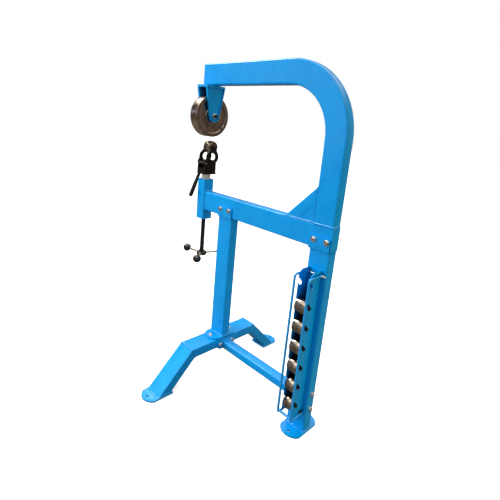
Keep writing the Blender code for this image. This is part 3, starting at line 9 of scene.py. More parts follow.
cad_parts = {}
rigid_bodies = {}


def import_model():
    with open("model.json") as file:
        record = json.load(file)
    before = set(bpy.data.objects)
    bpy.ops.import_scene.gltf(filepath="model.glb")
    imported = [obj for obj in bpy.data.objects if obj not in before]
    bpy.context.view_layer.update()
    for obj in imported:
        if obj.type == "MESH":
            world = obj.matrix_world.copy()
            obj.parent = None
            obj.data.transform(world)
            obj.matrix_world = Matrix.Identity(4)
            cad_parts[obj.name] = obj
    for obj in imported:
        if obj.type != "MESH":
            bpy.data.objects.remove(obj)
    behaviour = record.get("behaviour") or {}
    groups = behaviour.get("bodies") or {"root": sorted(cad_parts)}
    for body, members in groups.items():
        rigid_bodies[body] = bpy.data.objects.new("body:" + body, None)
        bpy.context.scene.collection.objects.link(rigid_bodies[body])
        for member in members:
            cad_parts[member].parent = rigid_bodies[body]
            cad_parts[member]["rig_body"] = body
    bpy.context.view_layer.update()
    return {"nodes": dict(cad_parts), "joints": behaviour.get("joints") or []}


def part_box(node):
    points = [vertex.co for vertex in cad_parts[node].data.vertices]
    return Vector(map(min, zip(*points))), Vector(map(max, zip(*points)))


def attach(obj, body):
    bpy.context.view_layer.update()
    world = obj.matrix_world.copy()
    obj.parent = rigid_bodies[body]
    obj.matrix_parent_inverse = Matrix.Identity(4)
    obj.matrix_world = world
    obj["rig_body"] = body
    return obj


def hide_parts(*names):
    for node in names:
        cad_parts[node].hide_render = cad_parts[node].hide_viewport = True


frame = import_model()
NODES = frame["nodes"]

MM = 0.001
X_AXIS = Vector((1, 0, 0))
Y_AXIS = Vector((0, 1, 0))
Z_AXIS = Vector((0, 0, 1))
WHEEL_X = (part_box("upper_wheel")[0].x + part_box("upper_wheel")[1].x) / 2
# Vertices closer than this are one vertex.
MERGE_GAP = 0.002 * MM

# The photograph's viewpoint, fitted to the straight edges of the tubes
CAMERA_PLACE = (0.7934, -1.2512, 1.2967)
CAMERA_AZIMUTH, CAMERA_ELEVATION, CAMERA_ROLL = 43.69, 14.25, 5.41
LENS_MM, SENSOR_MM = 27.18, 36
LENS_SHIFT = (-0.0059, -0.0538)
CLIP_END = 200

# Lamps: name, place, target, size, watts, colour, and whether the machine mirrors it
MACHINE_MIDDLE = (-0.5, 0, 0.9)
RACK_MIDDLE = (-0.1, 0, 0.7)
LAMPS = (
    ("key", (-2.9, -3.4, 1.7), MACHINE_MIDDLE, (2.2, 1.8), 112, "fffdf8", False),
    ("overhead", (-3.2, -0.6, 4.4), MACHINE_MIDDLE, (1.2, 1.2), 132, "fffcf5", True),
    ("rack_side", (1.8, 0.7, 0.7), RACK_MIDDLE, (1.2, 1.2), 13, "fff6bc", False),
)
FLOOR_SIZE = 60
FLOOR_DROP = 0.5 * MM

# The room that the machine mirrors
WALL_TONES = ((0.0, "5a473c"), (0.64, "755e53"), (0.84, "979994"), (1.0, "b4b6b0"))
LAMP_WAY = (0.78, -0.62, 0.1)
LAYERS = (("lamp", "f3ece0"), ("window", "b4c0e6"), ("beam", "2a231e"), ("ceiling", "fbf6ec"))
ROOM_POWER, MIRRORED_CEILING_POWER = 1.15, 2.3
BACKDROP_GLOW = 0.62

# Sockets of a Mix node that mixes colours
MIX_SHARE, MIX_UNDER, MIX_OVER, MIX_RESULT = 0, 6, 7, 2
# Scale of a Wave Texture whose rings lie one metre apart
WAVE_SCALE = math.tau / 20


# Nodes

def srgb(code):
    """Linear colour from a hex code."""
    channels = [int(code[i:i + 2], 16) / 255 for i in (0, 2, 4)]
    linear = [c / 12.92 if c <= 0.04045 else ((c + 0.055) / 1.055) ** 2.4 for c in channels]
    return (*linear, 1)


def add(tree, kind, settings, links, stops=()):
    """Adds a node, sets its properties and inputs, and links its inputs. A ramp has (position, hex) stops."""
    node = tree.nodes.new(kind)
    for key, value in settings.items():
        if isinstance(key, int) or key in node.inputs:
            node.inputs[key].default_value = value
        else:
            setattr(node, key, value)
    for key, source in links.items():
        tree.links.new(source, node.inputs[key])
    if stops:
        elements = node.color_ramp.elements
        for _ in stops[2:]:
            elements.new(0.5)
        for element, (position, code) in zip(elements, stops):
            element.position = position
            element.color = srgb(code)
    return node


# Camera, light and floor

def place_camera():
    """Looks from the photograph's viewpoint, with its strong colours."""
    azimuth, elevation, roll = map(math.radians, (CAMERA_AZIMUTH, CAMERA_ELEVATION, CAMERA_ROLL))
    flat = math.cos(elevation)
    back = Vector((math.sin(azimuth) * flat, -math.cos(azimuth) * flat, math.sin(elevation)))
    level = Vector((math.cos(azimuth), math.sin(azimuth), 0))
    upright = level.cross(-back)
    right = level * math.cos(roll) + upright * math.sin(roll)
    up = upright * math.cos(roll) - level * math.sin(roll)
    data = bpy.data.cameras.new("photo_camera")
    data.sensor_width = SENSOR_MM
    data.lens = LENS_MM
    data.shift_x, data.shift_y = LENS_SHIFT
    data.clip_end = CLIP_END
    camera = bpy.data.objects.new("photo_camera", data)
    bpy.context.scene.collection.objects.link(camera)
    matrix = Matrix((right, up, back)).transposed().to_4x4()
    matrix.translation = Vector(CAMERA_PLACE)
    camera.matrix_world = matrix
    bpy.context.scene.camera = camera
    # The default view transform greys strong colours and can't reach the enamel's blue.
    bpy.context.scene.view_settings.view_transform = "Standard"


def area_light(name, place, target, size, power, colour, mirrored):
    """A soft lamp that the eye never sees. One that isn't mirrored lights the enamel without a glare."""
    data = bpy.data.lights.new(name, "AREA")
    data.shape = "RECTANGLE"
    data.size, data.size_y = size
    data.energy = power
    data.color = srgb(colour)[:3]
    light = bpy.data.objects.new(name, data)
    bpy.context.scene.collection.objects.link(light)
    light.location = place
    light.rotation_euler = (Vector(target) - Vector(place)).to_track_quat("-Z", "Y").to_euler()
    light.visible_camera = False
    light.visible_glossy = mirrored


def build_sky():
    """White to the eye. The machine mirrors brown walls, a lamp, a window, a dark beam and a ceiling."""
    world = bpy.data.worlds.new("studio")
    bpy.context.scene.world = world
    world.use_nodes = True
    tree = world.node_tree
    look = add(tree, "ShaderNodeTexCoord", {}, {}).outputs["Generated"]
    way = add(tree, "ShaderNodeSeparateXYZ", {}, {0: look}).outputs
    sideways = add(tree, "ShaderNodeMath", {"operation": "ABSOLUTE"}, {0: way["Y"]}).outputs["Value"]
    facing = add(tree, "ShaderNodeVectorMath", {"operation": "DOT_PRODUCT", 1: LAMP_WAY}, {0: look})
    # Soft steps from 0 to 1: the direction that each one reads, its start and its end
    steps = {
        "lamp": (facing.outputs["Value"], 0.9, 0.97),
        "above_sill": (way["Z"], 0.1, 0.14),
        "below_lintel": (way["Z"], 0.25, 0.21),
        "wheel_end": (way["X"], -0.2, -0.45),
        "beam": (way["Z"], 0.47, 0.5),
        "ceiling": (way["Z"], 0.53, 0.58),
    }
    shares = {}
    for name, (source, start, end) in steps.items():
        settings = {"From Min": start, "From Max": end, "interpolation_type": "SMOOTHSTEP"}
        shares[name] = add(tree, "ShaderNodeMapRange", settings, {"Value": source}).outputs["Result"]
    multiply = {"operation": "MULTIPLY"}
    links = {0: shares["above_sill"], 1: shares["below_lintel"]}
    band = add(tree, "ShaderNodeMath", multiply, links).outputs["Value"]
    links = {0: band, 1: shares["wheel_end"]}
    shares["window"] = add(tree, "ShaderNodeMath", multiply, links).outputs["Value"]
    room = add(tree, "ShaderNodeValToRGB", {}, {"Fac": sideways}, WALL_TONES).outputs["Color"]
    for name, code in LAYERS:
        settings = {"data_type": "RGBA", MIX_OVER: srgb(code)}
        links = {MIX_SHARE: shares[name], MIX_UNDER: room}
        room = add(tree, "ShaderNodeMix", settings, links).outputs[MIX_RESULT]
    # The ceiling is brighter in a reflection than as a light: bare metal shines and the enamel doesn't pale.
    gloss = add(tree, "ShaderNodeLightPath", {}, {}).outputs["Is Glossy Ray"]
    shown = add(tree, "ShaderNodeMath", multiply, {0: shares["ceiling"], 1: gloss}).outputs["Value"]
    settings = {"To Min": ROOM_POWER, "To Max": MIRRORED_CEILING_POWER}
    power = add(tree, "ShaderNodeMapRange", settings, {"Value": shown}).outputs["Result"]
    mirrored = tree.nodes["Background"]
    tree.links.new(power, mirrored.inputs["Strength"])
    tree.links.new(room, mirrored.inputs["Color"])
    backdrop = add(tree, "ShaderNodeBackground", {"Color": srgb("ffffff"), "Strength": 1.0}, {})
    eye = add(tree, "ShaderNodeLightPath", {}, {}).outputs["Is Camera Ray"]
    seen = add(tree, "ShaderNodeMixShader", {}, {0: eye, 1: mirrored.outputs[0], 2: backdrop.outputs[0]})
    tree.links.new(seen.outputs[0], tree.nodes["World Output"].inputs["Surface"])


def build_stage():
    """The floor and the lamps."""
    bpy.ops.mesh.primitive_plane_add(size=FLOOR_SIZE, location=(0, 0, -FLOOR_DROP))
    floor = bpy.context.object
    floor.name = "floor"
    floor.data.materials.append(studio_floor())
    for lamp in LAMPS:
        area_light(*lamp)


# Materials

def finish_of(name, sockets, tones, cloud_mm, gloss, grain_mm, depth_mm, stretch=(1, 1, 1)):
    """A surface: two tones in clouds, gloss that varies with cloud and grain, and the grain in relief."""
    material = bpy.data.materials.new(name)
    material.use_nodes = True
    tree = material.node_tree
    shader = tree.nodes["Principled BSDF"]
    for key, value in sockets.items():
        shader.inputs[key].default_value = value
    place = add(tree, "ShaderNodeTexCoord", {}, {}).outputs["Object"]
    settings = {"Scale": 1 / (cloud_mm * MM), "Detail": 4.0}
    cloud = add(tree, "ShaderNodeTexNoise", settings, {"Vector": place}).outputs["Fac"]
    stops = ((0.32, tones[0]), (0.68, tones[1]))
    colour = add(tree, "ShaderNodeValToRGB", {}, {"Fac": cloud}, stops).outputs["Color"]
    tree.links.new(colour, shader.inputs["Base Color"])
    drawn = add(tree, "ShaderNodeMapping", {"Scale": stretch}, {"Vector": place}).outputs["Vector"]
    settings = {"Scale": 1 / (grain_mm * MM), "Detail": 3.0}
    grain = add(tree, "ShaderNodeTexNoise", settings, {"Vector": drawn}).outputs["Fac"]
    mixed = add(tree, "ShaderNodeMath", {"operation": "ADD"}, {0: cloud, 1: grain}).outputs["Value"]
    settings = {"From Min": 0.6, "From Max": 1.4, "To Min": gloss[0], "To Max": gloss[1]}
    rough = add(tree, "ShaderNodeMapRange", settings, {"Value": mixed}).outputs["Result"]
    tree.links.new(rough, shader.inputs["Roughness"])
    settings = {"Strength": 0.5, "Distance": depth_mm * MM}
    relief = add(tree, "ShaderNodeBump", settings, {"Height": grain}).outputs["Normal"]
    tree.links.new(relief, shader.inputs["Normal"])
    return material


def add_rings(material, centre, pitch_mm, depth_mm):
    """Rings about a wheel's own axle, in relief and in tone, as a lathe tool leaves them."""
    tree = material.node_tree
    shader = tree.nodes["Principled BSDF"]
    place = add(tree, "ShaderNodeTexCoord", {}, {}).outputs["Object"]
    centred = add(tree, "ShaderNodeMapping", {"Location": -centre}, {"Vector": place}).outputs["Vector"]
    settings = {"wave_type": "RINGS", "rings_direction": "X", "Scale": WAVE_SCALE / (pitch_mm * MM),
                "Distortion": 0.6, "Detail": 2.0}
    rings = add(tree, "ShaderNodeTexWave", settings, {"Vector": centred}).outputs["Fac"]
    stops = ((0.0, "c4c0ba"), (1.0, "ffffff"))
    tone = add(tree, "ShaderNodeValToRGB", {}, {"Fac": rings}, stops).outputs["Color"]
    plain = shader.inputs["Base Color"].links[0].from_socket
    settings = {"data_type": "RGBA", "blend_type": "MULTIPLY", MIX_SHARE: 1.0}
    ringed = add(tree, "ShaderNodeMix", settings, {MIX_UNDER: plain, MIX_OVER: tone}).outputs[MIX_RESULT]
    tree.links.new(ringed, shader.inputs["Base Color"])
    below = shader.inputs["Normal"].links[0].from_socket
    settings = {"Strength": 0.4, "Distance": depth_mm * MM}
    relief = add(tree, "ShaderNodeBump", settings, {"Height": rings, "Normal": below}).outputs["Normal"]
    tree.links.new(relief, shader.inputs["Normal"])


def enamel(name, coat, gloss):
    # Gloss enamel sprayed on welded steel tube: the eye sees orange peel and an uneven film.
    # The real peel is 1 to 2 mm across; it is drawn near 3 mm so that it shows.
    # Painted shade: ambient occlusion darkens the base colour in closed hollows, so the channel and the fork
    # look almost black inside.
    sockets = {"Coat Weight": coat, "Coat Roughness": 0.1, "Specular IOR Level": 0.35}
    material = finish_of(name, sockets, ("0098ee", "02a0f3"), cloud_mm=90, gloss=gloss, grain_mm=2.8,
                         depth_mm=0.035)
    tree = material.node_tree
    shader = tree.nodes["Principled BSDF"]
    # Painted shade: where ambient occlusion finds a closed hollow, the colour falls towards a dark blue-grey.
    hollow = add(tree, "ShaderNodeAmbientOcclusion", {"Distance": 70 * MM, "samples": 8}, {}).outputs["AO"]
    stops = ((0.18, "2c3440"), (0.48, "ffffff"))
    hollow_painted_shade = add(tree, "ShaderNodeValToRGB", {}, {"Fac": hollow}, stops).outputs["Color"]
    sprayed = shader.inputs["Base Color"].links[0].from_socket
    settings = {"data_type": "RGBA", "blend_type": "MULTIPLY", MIX_SHARE: 1.0}
    paint_with_painted_shade = add(tree, "ShaderNodeMix", settings, {MIX_UNDER: sprayed, MIX_OVER: hollow_painted_shade}).outputs[MIX_RESULT]
    tree.links.new(paint_with_painted_shade, shader.inputs["Base Color"])
    return material


def ground_steel(name, centre, pitch_mm):
    # Hardened steel, turned and polished: a thin, smeared film of oil over rings about its axle.
    # The real rings are under half a millimetre apart; they are drawn wide enough to show.
    material = finish_of(name, {"Metallic": 1.0}, ("a2968a", "c9c1b7"), cloud_mm=24, gloss=(0.1, 0.32),
                         grain_mm=0.8, depth_mm=0.02, stretch=(1.0, 0.03, 0.03))
    add_rings(material, centre, pitch_mm, 0.05)
    return material


def blackened_steel():
    # Machined steel, chemically blackened and oiled: near black, with a dull sheen and faint cutter marks.
    sockets = {"Metallic": 0.4, "Specular IOR Level": 0.4}
    return finish_of("blackened_steel", sockets, ("121212", "1f1d1b"), cloud_mm=14, gloss=(0.28, 0.5),
                     grain_mm=1.2, depth_mm=0.03)


def zinc():
    # Steel fasteners with bright zinc plate: cool grey with a faint, mottled bloom.
    return finish_of("zinc_plate", {"Metallic": 1.0}, ("cccdca", "ecece6"), cloud_mm=4, gloss=(0.12, 0.3),
                     grain_mm=1.0, depth_mm=0.02)


def drawn_bar():
    # Bright drawn steel bar, left bare: pale and silky, with a faint grain from the die.
    return finish_of("bright_drawn_bar", {"Metallic": 1.0}, ("b4ada0", "d4cec2"), cloud_mm=6,
                     gloss=(0.24, 0.4), grain_mm=0.8, depth_mm=0.02)


def chrome():
    # Ground and hard-chromed round bar: bright, with fine rings about Z.
    return finish_of("hard_chrome", {"Metallic": 0.55}, ("e2e2de", "f6f4ee"), cloud_mm=12,
                     gloss=(0.05, 0.18), grain_mm=0.6, depth_mm=0.01, stretch=(0.03, 0.03, 1.0))


def bronze():
    # Bored bearing bronze: warm yellow, dulled by oil.
    return finish_of("bearing_bronze", {"Metallic": 1.0}, ("8f6a33", "b48a49"), cloud_mm=8,
                     gloss=(0.28, 0.46), grain_mm=0.8, depth_mm=0.02)


def phenolic():
    # Moulded phenolic resin: black and glossy, with faint flow marks.
    sockets = {"Coat Weight": 0.4, "Coat Roughness": 0.05}
    return finish_of("moulded_phenolic", sockets, ("060607", "0f0f10"), cloud_mm=9, gloss=(0.14, 0.26),
                     grain_mm=3.0, depth_mm=0.02)


def rubber():
    # Moulded black rubber: matt, with a fine grain and a little dust.
    return finish_of("moulded_rubber", {}, ("0b0b0b", "191918"), cloud_mm=5, gloss=(0.62, 0.85),
                     grain_mm=0.7, depth_mm=0.04)


def studio_floor():
    # White paper backdrop, lit from below for the eye: to the machine it is as dim as a workshop floor.
    material = finish_of("backdrop_paper", {}, ("f4f4f4", "f8f8f8"), cloud_mm=400, gloss=(0.65, 0.75),
                         grain_mm=3.0, depth_mm=0.01)
    tree = material.node_tree
    shader = tree.nodes["Principled BSDF"]
    shader.inputs["Emission Color"].default_value = srgb("ffffff")
    shader.inputs["Emission Strength"].default_value = BACKDROP_GLOW
    dim = add(tree, "ShaderNodeBsdfDiffuse", {"Color": srgb("6b645c")}, {})
    eye = add(tree, "ShaderNodeLightPath", {}, {}).outputs["Is Camera Ray"]
    seen = add(tree, "ShaderNodeMixShader", {}, {0: eye, 1: dim.outputs[0], 2: shader.outputs[0]})
    tree.links.new(seen.outputs[0], tree.nodes["Material Output"].inputs["Surface"])
    return material


# Modelling: lengths given to these functions are in millimetres, places are in metres

def only(piece):
    """Makes a piece the one that operators act on."""
    bpy.ops.object.select_all(action="DESELECT")
    piece.select_set(True)
    bpy.context.view_layer.objects.active = piece


def into_edit_mode():
    bpy.ops.object.mode_set(mode="EDIT")
    bpy.ops.mesh.select_all(action="SELECT")


def out_of_edit_mode():
    bpy.ops.mesh.select_all(action="SELECT")
    bpy.ops.mesh.normals_make_consistent(inside=False)
    bpy.ops.object.mode_set(mode="OBJECT")


def apply_modifier(piece, kind, settings):
    only(piece)
    modifier = piece.modifiers.new("shape", kind)
    for key, value in settings.items():
        setattr(modifier, key, value)
    bpy.ops.object.modifier_apply(modifier="shape")


def put(piece, centre, direction=Z_AXIS):
    """Turns a piece modelled about +Z towards a direction, moves it, and leaves its object at the origin."""
    only(piece)
    piece.rotation_mode = "QUATERNION"
    piece.rotation_quaternion = Z_AXIS.rotation_difference(Vector(direction))
    piece.location = centre
    bpy.ops.object.transform_apply(location=True, rotation=True, scale=True)
    return piece


def put_copy(pattern, centre, direction):
    """Puts a copy of a pattern piece, with a mesh of its own."""
    piece = bpy.data.objects.new(pattern.name, pattern.data.copy())
    bpy.context.scene.collection.objects.link(piece)
    return put(piece, centre, direction)


def copies(pattern, seats):
    """Puts a copy of a pattern piece at each (place, direction), and drops the pattern."""
    pieces = [put_copy(pattern, centre, direction) for centre, direction in seats]
    bpy.data.objects.remove(pattern)
    return pieces


def join(pieces):
    only(pieces[0])
    for piece in pieces[1:]:
        piece.select_set(True)
    bpy.ops.object.join()
    return bpy.context.object


def finish(piece, name, material, nodes, body, smooth=32):
    """Names, smooths and paints a piece, and ties it to its body and the CAD nodes that it stands for."""
    only(piece)
    into_edit_mode()
    out_of_edit_mode()
    bpy.ops.object.shade_smooth_by_angle(angle=math.radians(smooth))
    piece.name = name
    piece.data.name = name
    piece.data.materials.clear()
    piece.data.materials.append(material)
    if nodes:
        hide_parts(*nodes)
    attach(piece, body)
    return piece


def body_of(node):
    return NODES[node]["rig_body"]


def middle(node):
    low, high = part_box(node)
    return (low + high) / 2


def lathe(profile, segments=96, closed=False):
    """Turns (radius, height) points about Z: a circle is extruded and scaled from point to point."""
    bpy.ops.object.select_all(action="DESELECT")
    radius, height = profile[0]
    kind = "NOTHING" if closed else "NGON"
    bpy.ops.mesh.primitive_circle_add(vertices=segments, radius=radius * MM, fill_type=kind)
    piece = bpy.context.object
    into_edit_mode()
    bpy.ops.transform.translate(value=(0, 0, height * MM))
    for next_radius, next_height in profile[1:]:
        rise = (0, 0, (next_height - height) * MM)
        bpy.ops.mesh.extrude_region_move(TRANSFORM_OT_translate={"value": rise})
        grow = next_radius / radius
        bpy.ops.transform.resize(value=(grow, grow, 1), center_override=(0, 0, 0))
        radius, height = next_radius, next_height
    if closed:
        bpy.ops.mesh.select_mode(type="EDGE")
        bpy.ops.mesh.select_all(action="DESELECT")
        bpy.ops.mesh.select_non_manifold()
        bpy.ops.mesh.bridge_edge_loops()
        bpy.ops.mesh.select_mode(type="VERT")
    out_of_edit_mode()
    return piece


def arc(centre, radius, start, end, steps):
    """Points of an arc between two angles in degrees, in the plane of a profile."""
    points = []
    for i in range(steps + 1):
        angle = math.radians(start + (end - start) * i / steps)
        points.append((centre[0] + radius * math.cos(angle), centre[1] + radius * math.sin(angle)))
    return points


def both_ways(half):
    """A profile that is the same above and below its middle."""
    return half + [(radius, -height) for radius, height in reversed(half)]


def hexagon(across, height):
    """A hexagon with its corners turned off, seated at the origin."""
    corner = across / math.sqrt(3)
    turned_off = across * 0.09
    bpy.ops.object.select_all(action="DESELECT")
    bpy.ops.mesh.primitive_cylinder_add(vertices=6, radius=corner * MM, depth=height * MM,
                                        location=(0, 0, height * MM / 2))
    piece = bpy.context.object
    bpy.ops.object.transform_apply(location=True, rotation=True, scale=True)
    into_edit_mode()
    bpy.ops.mesh.bevel(offset=turned_off * MM, segments=3, affect="EDGES", profile=0.6)
    out_of_edit_mode()
    return piece


def skin(node, material, rounding, sharp=30, smooth=40):
    """A copy of a CAD solid with its facets merged, its sharp edges rounded and its real finish."""
    piece = bpy.data.objects.new(node + "_skin", NODES[node].data.copy())
    bpy.context.scene.collection.objects.link(piece)
    only(piece)
    into_edit_mode()
    bpy.ops.mesh.remove_doubles(threshold=MERGE_GAP)
    bpy.ops.mesh.select_all(action="SELECT")
    bpy.ops.mesh.dissolve_limited(angle_limit=math.radians(0.5))
    out_of_edit_mode()
    settings = {"width": rounding * MM, "segments": 2, "limit_method": "ANGLE",
                "angle_limit": math.radians(sharp)}
    apply_modifier(piece, "BEVEL", settings)
    finish(piece, node + "_skin", material, [node], body_of(node), smooth)
    apply_modifier(piece, "WEIGHTED_NORMAL", {"keep_sharp": True})
    return piece


# Upper wheel and anvils

# Radius of each anvil's crowned rim, and the spacing at which its turned rings are drawn
CROWNS = {"mounted_anvil": 76, "rack_anvil_1": 320, "rack_anvil_2": 190, "rack_anvil_3": 114,
          "rack_anvil_4": 89, "rack_anvil_5": 51, "rack_anvil_6": 38}
ANVIL_RING_PITCH = 4
WHEEL_RING_PITCH = 9
ANVIL_RADIUS, ANVIL_HALF_WIDTH = 31.75, 25
AXLE_RADIUS, AXLE_HALF_LENGTH = 8, 34


def wheel_profile(half):
    """Section of the upper wheel: a boss set back from the rim's face, and a round-rooted recess."""
    bore, boss, recess, tread = 14.4, 42, 83.6, 101.6
    boss_face, floor = half - 2, half - 6
    bore_edge, edge, root, corner = 0.5, 0.8, 1.0, 2.0
    side = [(bore, boss_face - 0.6), (bore + bore_edge, boss_face)]
    side += [(boss - edge, boss_face), (boss, boss_face - edge), (boss, floor + root)]
    side += arc((boss + root, floor + root), root, 180, 270, 4)
    side += arc((recess - root, floor + root), root, 270, 360, 4)
    side += [(recess, half - edge), (recess + edge, half), (tread - corner, half)]
    side += arc((tread - corner, half - corner), corner, 80, 0, 6)
    return both_ways(side)


def anvil_profile(crown):
    """Section of an anvil: a recessed face round the axle and a rim that is an arc of this radius."""
    bore, floor, root, steps = AXLE_RADIUS + 0.4, ANVIL_HALF_WIDTH - 3, 0.8, 24
    half = ANVIL_HALF_WIDTH
    rim = []
    for i in range(steps + 1):
        height = half - 2 * half * i / steps
        rim.append((ANVIL_RADIUS - (crown - math.sqrt(crown ** 2 - height ** 2)), height))
    edge = rim[0][0]
    recess = min(19, edge - 3)
    face = [(bore, floor), (recess - root, floor)] + arc((recess - root, floor + root), root, 270, 360, 3)
    face += [(recess, half - 0.4), (recess + 0.4, half), (edge - 0.7, half)]
    rim[0] = (edge, half - 0.6)
    rim[-1] = (edge, -half + 0.6)
    return face + rim + [(radius, -height) for radius, height in reversed(face)]


def build_wheels():
    """The upper wheel and the seven anvils, each with rings about its own axle."""
    centre = middle("upper_wheel")
    low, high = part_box("upper_wheel")
    profile = wheel_profile((high.x - low.x) / 2 / MM)
    wheel = put(lathe(profile, segments=160, closed=True), centre, X_AXIS)
    steel = ground_steel("ground_steel_upper_wheel", centre, WHEEL_RING_PITCH)
    finish(wheel, "upper_wheel_skin", steel, ["upper_wheel"], "upper_wheel")
    for node, crown in CROWNS.items():
        centre = middle(node)
        anvil = put(lathe(anvil_profile(crown), closed=True), centre, X_AXIS)
        steel = ground_steel("ground_steel_" + node, centre, ANVIL_RING_PITCH)
        finish(anvil, node + "_skin", steel, [node], body_of(node))


def build_axles(black):
    """The anvils' axles, with chamfered ends and centre holes, and the upper wheel's."""
    end, chamfer = AXLE_HALF_LENGTH, 1
    hole = [(0.6, end - 3), (1.8, end)]
    profile = both_ways(hole + [(AXLE_RADIUS - chamfer, end), (AXLE_RADIUS, end - chamfer)])
    names = ["mounted_axle"] + ["rack_axle_" + str(i + 1) for i in range(6)]
    seats = [(middle(name), X_AXIS) for name in names]
    for name, axle in zip(names, copies(lathe(profile, segments=48), seats)):
        finish(axle, name + "_skin", black, [name], body_of(name))
    low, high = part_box("wheel_axle")
    end, radius, chamfer = (high.x - low.x) / 2 / MM, 7.9, 1.3
    profile = both_ways([(radius - chamfer, end), (radius, end - chamfer)])
    axle = put(lathe(profile, segments=48), middle("wheel_axle"), X_AXIS)
    finish(axle, "wheel_axle_skin", black, ["wheel_axle"], "frame")


# Bolts and nuts

BOLT_ACROSS, BOLT_RADIUS = 18, 5.9
WASHER_RADIUS, WASHER_THICKNESS = 12.4, 1.9
HEAD_THICKNESS, NUT_THICKNESS = 5.6, 7.8
HEAD_TOP = WASHER_THICKNESS + HEAD_THICKNESS
NUT_TO_END = 12
AXLE_NUT_ACROSS = 24


def bolt_head():
    """A washer and a hexagon head with a turned face, seated at the origin."""
    edge, rim, top = 0.4, WASHER_RADIUS, WASHER_THICKNESS
    profile = [(rim - edge, 0), (rim, edge), (rim, top - edge), (rim - edge, top), (BOLT_ACROSS / 2, top)]
    washer = lathe(profile, segments=48)
    head = put(hexagon(BOLT_ACROSS, HEAD_THICKNESS), Z_AXIS * top * MM)
    face = lathe([(8.0, HEAD_TOP - 0.1), (7.2, HEAD_TOP + 0.3)], segments=32)
    return join([washer, head, face])


def build_bolts(plating):
    """Washers, hexagon heads, nuts and chamfered thread ends."""
    names = sorted(name for name in NODES if "_bolt_" in name)
    head_seats, nut_seats, shanks = [], [], []
    for name in names:
        low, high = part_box(name)
        size = high - low
        index = max(range(3), key=lambda i: size[i])
        direction = Vector([float(i == index) for i in range(3)])
        outward = -direction if name.startswith("saddle") else direction
        seat = middle(name) + outward * (size[index] / 2 - HEAD_TOP * MM)
        head_seats.append((seat, outward))
        end = size[index] / MM - HEAD_TOP
        profile = [(BOLT_RADIUS, 0), (BOLT_RADIUS, end - 1), (BOLT_RADIUS - 0.9, end)]
        shanks.append(put(lathe(profile, segments=32), seat, -outward))
        nut_seats.append((seat - outward * (end - NUT_TO_END) * MM, -outward))
    heads = copies(bolt_head(), head_seats)
    nuts = copies(hexagon(BOLT_ACROSS, NUT_THICKNESS), nut_seats)
    for name, *pieces in zip(names, heads, shanks, nuts):
        finish(join(pieces), name + "_skin", plating, [name], "frame")


def build_axle_nuts(plating):
    """The two plain nuts on the upper wheel's axle."""
    names, seats = ("wheel_axle_nut_front", "wheel_axle_nut_rear"), []
    for name, outward in zip(names, (-X_AXIS, X_AXIS)):
        low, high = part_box(name)
        thickness = high.x - low.x
        seats.append((middle(name) - outward * thickness / 2, outward))
    for name, nut in zip(names, copies(hexagon(AXLE_NUT_ACROSS, thickness / MM), seats)):
        finish(nut, name + "_skin", plating, [name], "frame")


# Adjuster and lever

SCREW_PITCH, SCREW_CORE, SCREW_COLLAR = 4, 10.9, 11.4
SCREW_RIDGE = 0.8
HUB_RADIUS, HUB_NECK, HUB_FOOT = 27, 16, 22
# Balls and spokes are drawn about 1.5 mm larger in radius than their solids, as they look in the photograph.
BALL_RADIUS, BALL_NECK, BALL_REACH = 21.5, 6.4, 110
SPOKE_RADIUS, SPOKE_START, SPOKE_END = 6.1, 20, 93
LEVER_LEAN = 22.7
GRIP_RADIUS, GRIP_END = 10.4, 153
LEVER_BOSS, LEVER_BOSS_HALF = 14, 9
RAM_RADIUS = 22.5


def thread(radius, pitch, low, high, ridge):
    """A screw thread about Z between two heights: a small diamond that climbs as it turns."""
    bpy.ops.object.select_all(action="DESELECT")
    bpy.ops.mesh.primitive_circle_add(vertices=4, radius=ridge * MM, rotation=(math.pi / 2, 0, 0))
    bpy.ops.object.transform_apply(location=True, rotation=True, scale=True)
    piece = bpy.context.object
    into_edit_mode()
    bpy.ops.transform.translate(value=(radius * MM, 0, low * MM))
    bpy.ops.object.mode_set(mode="OBJECT")
    settings = {"screw_offset": pitch * MM, "iterations": int((high - low) / pitch), "steps": 20,
                "render_steps": 20, "use_merge_vertices": True, "merge_threshold": 0.01 * MM}
    apply_modifier(piece, "SCREW", settings)
    into_edit_mode()
    bpy.ops.mesh.fill_holes(sides=6)
    out_of_edit_mode()
    return piece


